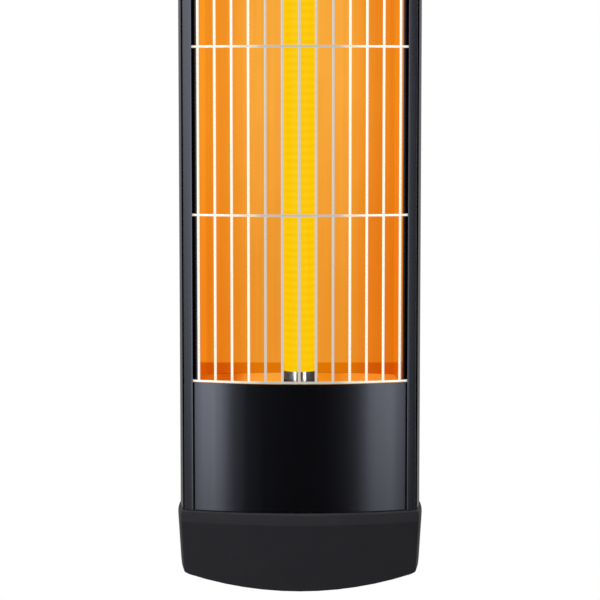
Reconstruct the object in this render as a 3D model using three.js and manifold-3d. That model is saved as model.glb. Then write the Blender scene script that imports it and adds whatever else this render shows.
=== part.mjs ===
// A wall-mounted linear infrared heater, drawn in millimetres with +Z up, as it hangs upright.
// The wall is the plane y = 0 and the heater stands in front of it, its guard facing -Y.
// The origin lies in the wall plane, midway between the two wall brackets.
import * as THREE from "three";
import { mergeVertices } from "three/addons/utils/BufferGeometryUtils.js";
import Module from "manifold-3d";

// Driving dimensions of the whole heater.
const heater_length = 712.4; // tip of one end cap to the tip of the other
const housing_depth = 84; // front of the bulge to the flat back
const housing_half_width = 80.3; // at the widest place of the curved sides
const wall_gap = 52; // flat back to the wall
const lamp_height_in_reflector = 22.3; // lamp axis to the bottom of the trough
const fit_gap = 0.3; // between pieces that seat on each other
const overrun = 2; // how far a cutter runs past what it cuts

// Everything below is drawn with y counted back from the front of the bulge.
const wall_face = housing_depth + wall_gap;

// Helpers that turn three.js geometry into solids, join and cut them, and hang them in the scene.
const wasm = await Module();
wasm.setup();

function solid(geometry) {
  const bare = geometry.clone();
  for (const name of Object.keys(bare.attributes)) if (name !== "position") bare.deleteAttribute(name);
  const merged = mergeVertices(bare);
  return new wasm.Manifold(
    new wasm.Mesh({
      numProp: 3,
      vertProperties: merged.attributes.position.array,
      triVerts: new Uint32Array(merged.index.array),
    }),
  );
}

const join = (first, ...others) => others.reduce((sum, other) => sum.add(solid(other)), first);
const cut = (first, ...cutters) => cutters.reduce((rest, cutter) => rest.subtract(solid(cutter)), first);

function geometryOf(manifold) {
  const mesh = manifold.getMesh();
  const positions = [];
  for (const corner of mesh.triVerts) {
    const start = corner * mesh.numProp;
    positions.push(...mesh.vertProperties.subarray(start, start + 3));
  }
  const geometry = new THREE.BufferGeometry();
  geometry.setAttribute("position", new THREE.Float32BufferAttribute(positions, 3));
  geometry.computeVertexNormals();
  return geometry;
}

function add(home, name, form, finish) {
  const geometry = form.isBufferGeometry ? form : geometryOf(form);
  const mesh = new THREE.Mesh(geometry, new THREE.MeshStandardMaterial(finish));
  mesh.name = name;
  home.add(mesh);
  return mesh;
}

// Shapes. A plan is drawn in x and y and runs up; an elevation is drawn in x and z and runs back.
const outline = (points) => new THREE.Shape(points.map(([a, b]) => new THREE.Vector2(a, b)));

function upright(shape, low, high) {
  return new THREE.ExtrudeGeometry(shape, { depth: high - low, bevelEnabled: false }).translate(0, 0, low);
}

function backward(shape, front, back) {
  const geometry = new THREE.ExtrudeGeometry(shape, { depth: back - front, bevelEnabled: false });
  return geometry.rotateX(Math.PI / 2).translate(0, back, 0);
}

function block(x_low, x_high, y_low, y_high, z_low, z_high) {
  const box = new THREE.BoxGeometry(x_high - x_low, y_high - y_low, z_high - z_low);
  return box.translate((x_low + x_high) / 2, (y_low + y_high) / 2, (z_low + z_high) / 2);
}

function rod(radius, low, high, x, y, sides = 16) {
  const cylinder = new THREE.CylinderGeometry(radius, radius, high - low, sides);
  return cylinder.rotateX(Math.PI / 2).translate(x, y, (low + high) / 2);
}

function rod_back(radius, front, back, x, z, sides = 16) {
  return new THREE.CylinderGeometry(radius, radius, back - front, sides).translate(x, (front + back) / 2, z);
}

// A body of revolution about a vertical line, from points of radius and height.
function turned(points, x, y, sides = 24) {
  const profile = points.map(([radius, height]) => new THREE.Vector2(radius, height));
  return new THREE.LatheGeometry(profile, sides).rotateX(Math.PI / 2).translate(x, y, 0);
}

// A body of revolution about a line that runs back, from points of radius and distance back.
function turned_back(points, x, z, sides = 20) {
  const profile = points.map(([radius, distance]) => new THREE.Vector2(radius, distance));
  return new THREE.LatheGeometry(profile, sides).translate(x, 0, z);
}

// Points along an arc from one angle to another, both included.
function arc_points(x, y, radius, from, to, steps) {
  return Array.from({ length: steps + 1 }, (_, i) => {
    const angle = from + ((to - from) * i) / steps;
    return [x + radius * Math.cos(angle), y + radius * Math.sin(angle)];
  });
}

const hole_through = (points) => new THREE.Path(points.map(([a, b]) => new THREE.Vector2(a, b)));
const hole_steps = 12;
const round_hole = (x, y, radius, steps = hole_steps) =>
  hole_through(arc_points(x, y, radius, 0, Math.PI * 2, steps).slice(1));

// An upright slot with round ends.
const slot_hole = (x, y, half_length, radius) =>
  hole_through([
    ...arc_points(x, y + half_length - radius, radius, 0, Math.PI, hole_steps / 2),
    ...arc_points(x, y - half_length + radius, radius, Math.PI, Math.PI * 2, hole_steps / 2),
  ]);

// Finishes.
const black_anodised = { color: 0x1b1c20, roughness: 0.32, metalness: 0.85 };
const black_plastic = { color: 0x2a2a2d, roughness: 0.62, metalness: 0 };
const glowing_reflector = { color: 0xf29222, roughness: 0.25, metalness: 0.9 };
const chromed_wire = { color: 0xe9e9e6, roughness: 0.15, metalness: 1 };
const bright_steel = { color: 0xc9cbce, roughness: 0.25, metalness: 1 };
const zinc_steel = { color: 0xa9adb2, roughness: 0.4, metalness: 0.9 };
const black_steel = { color: 0x232427, roughness: 0.5, metalness: 0.6 };
const quartz = { color: 0xffe9a8, roughness: 0.05, metalness: 0, transparent: true, opacity: 0.4 };
const glowing_wire = { color: 0xffcf05, roughness: 0.5, metalness: 0.2, emissive: 0xffc400 };
const ceramic = { color: 0xf2efe6, roughness: 0.5, metalness: 0 };
const nylon = { color: 0xd9d6cc, roughness: 0.5, metalness: 0 };
const rubber = { color: 0x1d1d1e, roughness: 0.8, metalness: 0 };
const silicone_lead = { color: 0xb9452c, roughness: 0.6, metalness: 0 };

// The front of the heater is one shallow arch. Lips, covers, guard and ribs all lie on it, each at
// its own depth behind it.
const front_bulge = 14;
const side_bulge = 2.8; // how far the curved sides swell past their edges
const side_land = 0.5; // narrow flat at the front edge of each side
const side_edge = housing_half_width - side_bulge;
const front_half_width = side_edge - side_land;
const front_radius = (front_half_width ** 2 + front_bulge ** 2) / (2 * front_bulge);
const arch = (x) => front_radius - Math.sqrt(front_radius ** 2 - x ** 2);
const arch_steps = 12;

// Points along the arch at one depth behind it, from one x to another.
function along_arch(depth, from, to, steps = arch_steps) {
  return Array.from({ length: steps + 1 }, (_, i) => {
    const x = from + ((to - from) * i) / steps;
    return [x, arch(x) + depth];
  });
}

// A strip that follows the arch between two depths.
const arch_strip = (near, far, from, to, steps = arch_steps) =>
  outline([...along_arch(near, from, to, steps), ...along_arch(far, to, from, steps)]);

// Housing: one black anodised aluminium extrusion, open at the front.
const housing_wall = 1.8;
const back_corner_radius = 13;
const back_wall = 3;
const lip_width = 5.4;
const lip_groove_width = 0.8;
const lip_groove_depth = 3.2;
const side_setback = 1.6; // front edge of the curved side behind the end of the arch
const channel_wall = 1.4; // from the outer edge of a lip in to the bottom of its channel
const channel_depth = 21.5; // how far back those channels keep the side thick
const cap_height = 51.45;

const cap_tip = heater_length / 2;
const cap_rim = cap_tip - cap_height;
const housing_half_length = cap_rim - fit_gap;
const lip_half_width = front_half_width - lip_groove_width;
const mouth_half_width = lip_half_width - lip_width;
const channel_half_width = lip_half_width - channel_wall;
const side_front = front_bulge + side_setback;
const side_centre_y = housing_depth / 2;
const side_half_chord = side_centre_y - side_front;
const side_arc_radius = (side_half_chord ** 2 + side_bulge ** 2) / (2 * side_bulge);
const side_centre_x = housing_half_width - side_arc_radius;
const corner_centre_y = housing_depth - back_corner_radius;
const corner_drop = corner_centre_y - side_centre_y;
const corner_reach = side_arc_radius - back_corner_radius;
const corner_centre_x = side_centre_x + Math.sqrt(corner_reach ** 2 - corner_drop ** 2);
const corner_angle = Math.atan2(corner_drop, corner_centre_x - side_centre_x);
const side_steps = 6;
const corner_steps = 4;

// The right side from a given depth round to the flat back, grown outwards or shrunk by an offset.
function side_and_back(start_y, grow) {
  const radius = side_arc_radius + grow;
  const first = Math.asin((start_y - side_centre_y) / radius);
  const points = [];
  for (let i = 0; i <= side_steps; i++) {
    const angle = first + ((corner_angle - first) * i) / side_steps;
    points.push([side_centre_x + radius * Math.cos(angle), side_centre_y + radius * Math.sin(angle)]);
  }
  for (let i = 1; i <= corner_steps; i++) {
    const angle = corner_angle + ((Math.PI / 2 - corner_angle) * i) / corner_steps;
    const reach = back_corner_radius + grow;
    points.push([corner_centre_x + reach * Math.cos(angle), corner_centre_y + reach * Math.sin(angle)]);
  }
  return points;
}

const mirrored = (points) => points.map(([x, y]) => [-x, y]).reverse();

const outer_side = [
  [lip_half_width, arch(lip_half_width) + lip_groove_depth],
  [front_half_width, arch(lip_half_width) + lip_groove_depth],
  [front_half_width, side_front],
  ...side_and_back(side_front, 0),
];
const housing_outside = outline([
  ...along_arch(0, -lip_half_width, lip_half_width),
  ...outer_side,
  ...mirrored(outer_side),
]);

const inner_side = [[channel_half_width, channel_depth], ...side_and_back(channel_depth, -housing_wall)];
const housing_inside = outline([
  ...along_arch(housing_wall, -channel_half_width, channel_half_width),
  ...inner_side,
  ...mirrored(inner_side),
]);

// The two ribs on each side: covers and guard hoops slide in front of the first, and the lip of the
// reflector slides between the first and the second.
const cover_depth = 2.1; // outer face of the covers behind the arch
const cover_thickness = 1.5;
const rib_thickness = 1.2;
const rib_reach = 3.4; // how far the ribs stand out past the lips, towards the lamp
const rib_half_width = mouth_half_width - rib_reach;
const reflector_sheet = 0.8;
const front_rib_depth = cover_depth + cover_thickness + fit_gap;
const reflector_lip_depth = front_rib_depth + rib_thickness + fit_gap;
const rear_rib_depth = reflector_lip_depth + reflector_sheet + fit_gap;

// Two T-shaped channels in the back take the heads of the bracket bolts.
const tee_x = 22;
const tee_block_half = 7.4;
const tee_block_depth = 9.1;
const tee_mouth_half = 3.3;
const tee_lip = 2.1;
const tee_pocket_half = 5.5;
const tee_pocket_depth = 5.4;

// Screw ports for the end caps: two behind the lips, each on a web, and two on the back.
const port_radius = 3.8;
const port_hole_radius = 2.05;
const port_slit = 1.2;
const port_web = 1.8;
const port_sides = 12;
const rib_steps = 2;
const front_port_inset = 7.6;
const front_port_depth = 28;
const rear_port_inset = 7.5; // from the middle of the back corner
const rear_port_height = 6.2; // from the outside of the back
const front_port = [housing_half_width - front_port_inset, front_port_depth];
const rear_port = [corner_centre_x - rear_port_inset, housing_depth - rear_port_height];

// Shallow cooling grooves on the back.
const back_groove_count = 5;
const back_groove_margin = 5; // from a T-shaped channel to the first groove, and from the last to the corner
const back_groove_width = 2;
const back_groove_first = tee_x + tee_block_half + back_groove_margin;
const back_groove_last = corner_centre_x - back_groove_margin;
const back_groove_pitch = (back_groove_last - back_groove_first) / (back_groove_count - 1);
const back_groove_depth = 1.3;

// Along the length: the lit stretch ends where the covers begin, and the lamp's ends, their holders
// and the wiring follow on behind each cover.
const cover_height = 86.35; // of each cover between the guard and the rim of the cap
const lit_half_length = cap_rim - cover_height;
const ferrule_reach = 3.6; // how far a ferrule shows past the end of the lit stretch
const tube_in_ferrule = 14.2;
const tube_end_gap = 4.9; // from the end of the tube to the insulator behind it
const insulator_collar = 4;
const ferrule_floor = 1.6;
const insulator_length = 27;
const holder_gap = 8.2; // from the ferrule to the upright plate of the lamp holder
const ferrule_top = lit_half_length - ferrule_reach;
const tube_half_length = ferrule_top + tube_in_ferrule;
const insulator_top = -tube_half_length - tube_end_gap;
const insulator_bottom = insulator_top - insulator_length;
const ferrule_low = insulator_top - insulator_collar - fit_gap - ferrule_floor;
const holder_z = ferrule_low - holder_gap;

// A screw of each lamp holder passes through the back.
const holder_screw_radius = 2;
const holder_screw_drop = 14; // from the upright plate of the holder
const holder_screw_z = -holder_z + holder_screw_drop;

function housing() {
  const low = -housing_half_length;
  const high = housing_half_length;
  const bar = (...sides) => block(...sides, low, high);
  const groove = (...sides) => block(...sides, low - overrun, high + overrun);
  const bore = (radius, x, y) => rod(radius, low - overrun, high + overrun, x, y, port_sides);
  const past_back = housing_depth + overrun;
  const mouth = arch_strip(-overrun, housing_wall + overrun, -mouth_half_width, mouth_half_width);
  let body = solid(upright(housing_outside, low, high));
  body = cut(
    body,
    upright(housing_inside, low - overrun, high + overrun),
    upright(mouth, low - overrun, high + overrun),
  );
  const back_inner = housing_depth - back_wall;
  const back_skin = housing_depth - housing_wall;
  body = join(body, bar(-corner_centre_x, corner_centre_x, back_inner, back_skin));
  for (const side of [-1, 1]) {
    const rib_ends = [side * rib_half_width, side * (channel_half_width + housing_wall / 2)];
    const [left, right] = rib_ends.sort((a, b) => a - b);
    for (const depth of [front_rib_depth, rear_rib_depth]) {
      const rib = arch_strip(depth, depth + rib_thickness, left, right, rib_steps);
      body = join(body, upright(rib, low, high));
    }
    const tee = side * tee_x;
    const tee_front = housing_depth - tee_lip - tee_pocket_depth;
    const tee_block_front = housing_depth - tee_block_depth;
    body = join(body, bar(tee - tee_block_half, tee + tee_block_half, tee_block_front, back_skin));
    body = cut(
      body,
      groove(tee - tee_mouth_half, tee + tee_mouth_half, tee_front, past_back),
      groove(tee - tee_pocket_half, tee + tee_pocket_half, tee_front, housing_depth - tee_lip),
    );
    const [front_x, front_y] = [side * front_port[0], front_port[1]];
    const [rear_x, rear_y] = [side * rear_port[0], rear_port[1]];
    const web_ends = [front_x, side * (housing_half_width - housing_wall)];
    const [web_left, web_right] = web_ends.sort((a, b) => a - b);
    body = join(
      body,
      rod(port_radius, low, high, front_x, front_y, port_sides),
      rod(port_radius, low, high, rear_x, rear_y, port_sides),
      bar(web_left, web_right, front_y - port_web / 2, front_y + port_web / 2),
    );
    const half_slit = port_slit / 2;
    body = cut(
      body,
      bore(port_hole_radius, front_x, front_y),
      bore(port_hole_radius, rear_x, rear_y),
      groove(front_x - half_slit, front_x + half_slit, front_y, front_y + port_radius + overrun),
      groove(rear_x - half_slit, rear_x + half_slit, rear_y - port_radius - overrun, rear_y),
    );
    for (let i = 0; i < back_groove_count; i++) {
      const x = side * (back_groove_first + i * back_groove_pitch);
      const half = back_groove_width / 2;
      body = cut(body, groove(x - half, x + half, housing_depth - back_groove_depth, past_back));
    }
    const screw_room = holder_screw_radius + fit_gap;
    const screw_z = side * holder_screw_z;
    body = cut(body, rod_back(screw_room, back_inner - overrun, past_back, 0, screw_z, port_sides));
  }
  return body;
}

// Wire guard: thirteen upright wires welded behind five hoops, whose ends slide in the channels.
const hoop_count = 5;
const hoop_radius = 0.8;
const wire_radius = 0.8;
const wire_margin = 1.4; // from the ribs in to the outermost wires
const wire_count = 13;
const weld_bite = 0.3; // how far a wire sinks into a hoop at a weld
const wire_sides = 6;
const hoop_pitch = (2 * lit_half_length) / (hoop_count - 1);
const wire_pitch = (2 * (rib_half_width - wire_margin)) / (wire_count - 1);
const hoop_end = channel_half_width - fit_gap;
const hoop_depth = cover_depth + hoop_radius;
const wire_depth = hoop_depth + hoop_radius + wire_radius - weld_bite;

const wire_section = (radius) => outline(arc_points(0, 0, radius, 0, 2 * Math.PI, wire_sides).slice(1));

function wire_guard() {
  const hoop_line = new THREE.CatmullRomCurve3(
    along_arch(hoop_depth, -hoop_end, hoop_end).map(([x, y]) => new THREE.Vector3(x, y, 0)),
  );
  const hoop = new THREE.ExtrudeGeometry(wire_section(hoop_radius), {
    steps: arch_steps,
    extrudePath: hoop_line,
    bevelEnabled: false,
  });
  let guard = null;
  for (let i = 0; i < wire_count; i++) {
    const x = (i - (wire_count - 1) / 2) * wire_pitch;
    const wire = upright(wire_section(wire_radius), -lit_half_length, lit_half_length);
    wire.translate(x, arch(x) + wire_depth, 0);
    guard = guard ? join(guard, wire) : solid(wire);
  }
  for (let i = 0; i < hoop_count; i++) {
    guard = join(guard, hoop.clone().translate(0, 0, -lit_half_length + i * hoop_pitch));
  }
  return guard;
}

// Reflector: a polished sheet bent to a wide trough. Its bottom is bowed a little, and a round corner
// on each side leads up into a steep wall.
const trough_margin = 2.2; // from the ribs in to the mouth of the trough
const trough_back_gap = 20; // from the bottom of the trough to the outside of the back
const trough_bow = 10; // how far the bow of the bottom would rise by the mouth's edges
const trough_wall_lean = 2.4; // how far a wall leans in between the mouth and the bottom
const trough_corner_radius = 7;
const reflector_lip = 4.8;
const reflector_overlap = 0.9; // past the end hoops
const trough_steps = 14;
const trough_corner_steps = 4;
const trough_half_width = rib_half_width - trough_margin;
const trough_bottom = housing_depth - trough_back_gap;
const reflector_lip_half = trough_half_width + reflector_lip;
const trough_mouth = arch(trough_half_width) + reflector_lip_depth;
const lamp_y = trough_bottom - lamp_height_in_reflector;
const reflector_half_length = lit_half_length + reflector_overlap;
const bow_radius = (trough_half_width ** 2 + trough_bow ** 2) / (2 * trough_bow);
const bow_centre_y = trough_bottom - bow_radius;
const wall_angle = Math.atan2(trough_wall_lean, trough_bottom - trough_mouth);

// The centre of the right corner touches both the wall and the bow, from within. It lies on a line
// beside the wall, where that line meets a circle about the centre of the bow.
function corner_of_trough() {
  const start_x = trough_half_width - trough_corner_radius * Math.cos(wall_angle);
  const start_y = trough_mouth - trough_corner_radius * Math.sin(wall_angle) - bow_centre_y;
  const along = start_y * Math.cos(wall_angle) - start_x * Math.sin(wall_angle);
  const beside = start_x * Math.cos(wall_angle) + start_y * Math.sin(wall_angle);
  const run = Math.sqrt((bow_radius - trough_corner_radius) ** 2 - beside ** 2) - along;
  return [start_x - run * Math.sin(wall_angle), bow_centre_y + start_y + run * Math.cos(wall_angle)];
}

const [trough_corner_x, trough_corner_y] = corner_of_trough();
const bow_angle = Math.atan2(trough_corner_y - bow_centre_y, trough_corner_x);

// Points across the trough from left to right, moved outwards by an offset.
function trough(offset) {
  const bow = arc_points(0, bow_centre_y, bow_radius + offset, Math.PI - bow_angle, bow_angle, trough_steps);
  const corner = arc_points(
    trough_corner_x,
    trough_corner_y,
    trough_corner_radius + offset,
    bow_angle,
    wall_angle,
    trough_corner_steps,
  );
  const mouth = [
    trough_half_width + offset * Math.cos(wall_angle),
    trough_mouth + offset * Math.sin(wall_angle),
  ];
  const right = [...corner.slice(1), mouth];
  return [...mirrored(right), ...bow, ...right];
}

function reflector() {
  const lip_far = reflector_lip_depth + reflector_sheet;
  const back = trough(reflector_sheet).reverse();
  const section = outline([
    [-reflector_lip_half, arch(reflector_lip_half) + reflector_lip_depth],
    ...trough(0),
    [reflector_lip_half, arch(reflector_lip_half) + reflector_lip_depth],
    [reflector_lip_half, arch(reflector_lip_half) + lip_far],
    [back[0][0], arch(back[0][0]) + lip_far],
    ...back.slice(1, -1),
    [-back[0][0], arch(back[0][0]) + lip_far],
    [-reflector_lip_half, arch(reflector_lip_half) + lip_far],
  ]);
  return upright(section, -reflector_half_length, reflector_half_length);
}

// Lamp: a quartz tube with a wound wire inside, a steel ferrule and a ceramic insulator at each end.
const tube_radius = 10.8;
const tube_wall = 1.2;
const ferrule_gap = 0.15;
const ferrule_wall = 0.6;
const insulator_radius = 6.5;
const insulator_collar_margin = 1.95; // from the inside of the ferrule in to the collar
const insulator_collar_radius = tube_radius + ferrule_gap - insulator_collar_margin;
const lamp_sides = 20;
const insulator_sides = 12;

function quartz_tube() {
  const bore = tube_radius - tube_wall;
  const profile = [
    [bore, -tube_half_length],
    [tube_radius, -tube_half_length],
    [tube_radius, tube_half_length],
    [bore, tube_half_length],
    [bore, -tube_half_length],
  ];
  return turned(profile, 0, lamp_y, lamp_sides);
}

// Heating coil: one unbroken wire wound from end to end, whose tails run in to the axis of the tube.
const coil_turns = 66;
const coil_end_gap = 1.3; // from the last turn to the rim of the ferrule
const coil_wire_radius = 0.6;
const coil_run_in = 3; // rise while the wire spirals in to the axis
const coil_steps_per_turn = 8;
const coil_sides = 5;
const coil_radius = tube_radius - tube_wall - fit_gap - coil_wire_radius;
const coil_half_length = ferrule_top - coil_end_gap;
const coil_pitch = (2 * coil_half_length) / coil_turns;

function coil_path() {
  const points = [];
  const tail_turn = -coil_half_length - coil_run_in;
  const tail_end = insulator_top + fit_gap;
  points.push(new THREE.Vector3(0, 0, tail_end));
  points.push(new THREE.Vector3(0, 0, tail_end + 2 * coil_wire_radius));
  points.push(new THREE.Vector3(0, 0, tail_turn));
  for (let i = 0; i <= coil_turns * coil_steps_per_turn; i++) {
    const turn = i / coil_steps_per_turn;
    const angle = turn * Math.PI * 2;
    const height = -coil_half_length + turn * coil_pitch;
    points.push(new THREE.Vector3(coil_radius * Math.cos(angle), coil_radius * Math.sin(angle), height));
  }
  points.push(new THREE.Vector3(0, 0, -tail_turn));
  points.push(new THREE.Vector3(0, 0, -tail_end - 2 * coil_wire_radius));
  points.push(new THREE.Vector3(0, 0, -tail_end));
  return points;
}

// A closed tube along a list of points: rings carried along without twist, and a fan at each end.
function tube_along(points, radius, sides) {
  const rings = [];
  let across = new THREE.Vector3(1, 0, 0);
  points.forEach((point, i) => {
    const before = points[Math.max(i - 1, 0)];
    const after = points[Math.min(i + 1, points.length - 1)];
    const way = after.clone().sub(before).normalize();
    across = across.sub(way.clone().multiplyScalar(across.dot(way))).normalize();
    const other = way.clone().cross(across);
    const ring = Array.from({ length: sides }, (_, k) => {
      const angle = (k * Math.PI * 2) / sides;
      const out = across.clone().multiplyScalar(radius * Math.cos(angle));
      return point.clone().add(out).add(other.clone().multiplyScalar(radius * Math.sin(angle)));
    });
    rings.push(ring);
  });
  const positions = [];
  const face = (...corners) => corners.forEach((corner) => positions.push(corner.x, corner.y, corner.z));
  for (let i = 0; i + 1 < rings.length; i++) {
    for (let k = 0; k < sides; k++) {
      const next = (k + 1) % sides;
      face(rings[i][k], rings[i][next], rings[i + 1][k]);
      face(rings[i][next], rings[i + 1][next], rings[i + 1][k]);
    }
  }
  const last = rings.length - 1;
  for (let k = 0; k < sides; k++) {
    const next = (k + 1) % sides;
    face(points[0], rings[0][next], rings[0][k]);
    face(points[last], rings[last][k], rings[last][next]);
  }
  const geometry = new THREE.BufferGeometry();
  geometry.setAttribute("position", new THREE.Float32BufferAttribute(positions, 3));
  geometry.computeVertexNormals();
  return geometry;
}

// The least gap between points of the wire that lie half a turn or more apart along it.
function least_gap(points, radius, apart) {
  let least = Infinity;
  for (let i = 0; i < points.length; i++) {
    for (let k = i + apart; k < points.length; k++) least = Math.min(least, points[i].distanceTo(points[k]));
  }
  return least - 2 * radius;
}

function heating_coil() {
  const points = coil_path();
  const gap = least_gap(points, coil_wire_radius, coil_steps_per_turn / 2);
  console.log("least gap of the heating coil to itself: " + gap.toFixed(2) + " mm");
  return tube_along(points, coil_wire_radius, coil_sides).translate(0, lamp_y, 0);
}

// The pieces of one end are drawn for the lower end. The upper end is the same set turned over.
function lamp_ferrule() {
  const inner = tube_radius + ferrule_gap;
  const outer = inner + ferrule_wall;
  const neck = insulator_radius + fit_gap;
  const profile = [
    [neck, ferrule_low],
    [outer, ferrule_low],
    [outer, -ferrule_top],
    [inner, -ferrule_top],
    [inner, ferrule_low + ferrule_floor],
    [neck, ferrule_low + ferrule_floor],
    [neck, ferrule_low],
  ];
  return turned(profile, 0, lamp_y, lamp_sides);
}

function lamp_insulator() {
  const collar_low = insulator_top - insulator_collar;
  const profile = [
    [0, insulator_bottom],
    [insulator_radius, insulator_bottom],
    [insulator_radius, collar_low],
    [insulator_collar_radius, collar_low],
    [insulator_collar_radius, insulator_top],
    [0, insulator_top],
  ];
  return turned(profile, 0, lamp_y, insulator_sides);
}

// Lamp holder: a bent steel strip, screwed to the back, whose upright plate carries the insulator.
const holder_half_width = 13;
const holder_thickness = 1.2;
const holder_foot_length = 24;
const holder_foot_low = holder_z - holder_foot_length;

function lamp_holder() {
  const foot_back = housing_depth - back_wall - fit_gap;
  const neck = insulator_radius + fit_gap;
  const plate = outline([
    [-holder_half_width, foot_back],
    ...arc_points(0, lamp_y, holder_half_width, Math.PI, Math.PI * 2, hole_steps),
    [holder_half_width, foot_back],
  ]);
  plate.holes.push(round_hole(0, lamp_y, neck));
  const upright_plate = solid(upright(plate, holder_z - holder_thickness, holder_z));
  const foot_front = foot_back - holder_thickness;
  const foot = block(-holder_half_width, holder_half_width, foot_front, foot_back, holder_foot_low, holder_z);
  const room = holder_screw_radius + fit_gap;
  const hole = rod_back(room, foot_front - overrun, foot_back + overrun, 0, -holder_screw_z, port_sides);
  return cut(join(upright_plate, foot), hole);
}

const holder_screw_head_radius = 4;
const holder_screw_head = 2.2;
const holder_screw_length = 12;

function holder_screw() {
  const seat = housing_depth + fit_gap;
  const profile = [
    [0, seat - holder_screw_length],
    [holder_screw_radius, seat - holder_screw_length],
    [holder_screw_radius, seat],
    [holder_screw_head_radius, seat],
    [holder_screw_head_radius, seat + holder_screw_head / 2],
    [holder_screw_head_radius / 2, seat + holder_screw_head],
    [0, seat + holder_screw_head],
  ];
  return turned_back(profile, 0, -holder_screw_z, screw_sides);
}

// Reflector end: a polished plate that closes the trough, with a notch open to the front, through
// which the lamp goes in with its ferrule.
const end_plate_flange = 1;
const end_plate_depth = cover_depth + cover_thickness + 2 * fit_gap;

function reflector_end() {
  const rim = trough(reflector_sheet + end_plate_flange).filter(([x, y]) => y > arch(x) + end_plate_depth);
  const edge = rim[rim.length - 1][0];
  const section = outline([...rim, ...along_arch(end_plate_depth, edge, -edge)]);
  const room = tube_radius + ferrule_gap + ferrule_wall + fit_gap;
  section.holes.push(round_hole(0, lamp_y, room, lamp_sides));
  const top = -reflector_half_length - fit_gap;
  const low = top - reflector_sheet;
  const notch = block(-room, room, -overrun, lamp_y, low - overrun, top + overrun);
  return cut(solid(upright(section, low, top)), notch);
}

// Front cover: a curved black plate that slides in the channels and hides the wiring of one end.
const cover_side_gap = 0.4; // from a cover's edge to the bottom of its channel
const cover_half_width = channel_half_width - cover_side_gap;
const cover_top = lit_half_length + hoop_radius + fit_gap;

function front_cover() {
  const strip = arch_strip(cover_depth, cover_depth + cover_thickness, -cover_half_width, cover_half_width);
  return upright(strip, -housing_half_length, -cover_top);
}

// End cap: a moulded cup that butts on the end of the housing. Its rim starts flush with the housing,
// swells out past it, and is then drawn in a little towards the curved end.
const cap_swell = 2;
const cap_rim_round = 5; // height over which the rim swells out
const cap_corner_depth = 3.6; // how far back the turn from the front into the side reaches
const cap_side_draft = 3;
const cap_front_draft = 1.5;
const cap_arc_inset = 8.3; // from the widest place of the sides in to the ends of the curved tip
const cap_arc_rise = 8.3;
const cap_fillet = 9;
const cap_floor = 2.5;
const cap_ledge = 3; // width of the rim that the end of the housing butts against
const cap_arc_half = housing_half_width - cap_arc_inset;
const cap_arc_radius = (cap_arc_half ** 2 + cap_arc_rise ** 2) / (2 * cap_arc_rise);
const cap_arc_centre_z = cap_arc_radius - cap_tip;
const corner_turn_steps = 4;
const tip_steps = 12;
const rim_round_steps = 3;
const fillet_steps = 4;

// Plan of the cap, grown outwards from the housing, or shrunk, by an offset.
function cap_plan(grow) {
  const side = side_and_back(front_bulge + cap_corner_depth - grow, grow);
  const start = [front_half_width + Math.min(grow, 0), front_bulge - grow];
  const turn = new THREE.QuadraticBezierCurve(
    new THREE.Vector2(...start),
    new THREE.Vector2(side[0][0], start[1]),
    new THREE.Vector2(...side[0]),
  );
  const rounded = turn.getPoints(corner_turn_steps).slice(1, -1).map((p) => [p.x, p.y]);
  const right = [...rounded, ...side];
  return [...along_arch(-grow, -start[0], start[0]), ...right, ...mirrored(right)];
}

// The tapering column between the rim and the tip, from stations of height and growth, lowest first.
function cap_column(stations) {
  const rings = stations.map(([z, grow]) => {
    const share = (-z - cap_rim) / cap_height;
    const across = 1 - (share * cap_side_draft) / housing_half_width;
    const deep = 1 - (share * cap_front_draft) / (housing_depth / 2);
    return cap_plan(grow).map(
      ([x, y]) => new THREE.Vector3(x * across, side_centre_y + (y - side_centre_y) * deep, z),
    );
  });
  const [lowest, highest] = [rings[0], rings[rings.length - 1]];
  const flat = THREE.ShapeUtils.triangulateShape(lowest.map(({ x, y }) => new THREE.Vector2(x, y)), []);
  const positions = [];
  const face = (...corners) => corners.forEach((corner) => positions.push(corner.x, corner.y, corner.z));
  for (const [a, b, c] of flat) {
    face(lowest[a], lowest[c], lowest[b]);
    face(highest[a], highest[b], highest[c]);
  }
  rings.slice(1).forEach((upper, level) => {
    const lower = rings[level];
    for (let i = 0; i < lower.length; i++) {
      const next = (i + 1) % lower.length;
      face(lower[i], lower[next], upper[i]);
      face(lower[next], upper[next], upper[i]);
    }
  });
  const geometry = new THREE.BufferGeometry();
  geometry.setAttribute("position", new THREE.Float32BufferAttribute(positions, 3));
  return solid(geometry);
}

// Where the round corners of the curved end leave the drawn-in sides. The side's half width and the
// corner's height depend on each other, and a few rounds settle them.
const settle_rounds = 6;
let cap_corner_half = housing_half_width;
let cap_corner_z = -cap_tip;
for (let i = 0; i < settle_rounds; i++) {
  const share = (-cap_corner_z - cap_rim) / cap_height;
  cap_corner_half = (housing_half_width + cap_swell) * (1 - (share * cap_side_draft) / housing_half_width);
  const reach = cap_arc_radius - cap_fillet;
  cap_corner_z = cap_arc_centre_z - Math.sqrt(reach ** 2 - (cap_corner_half - cap_fillet) ** 2);
}

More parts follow.
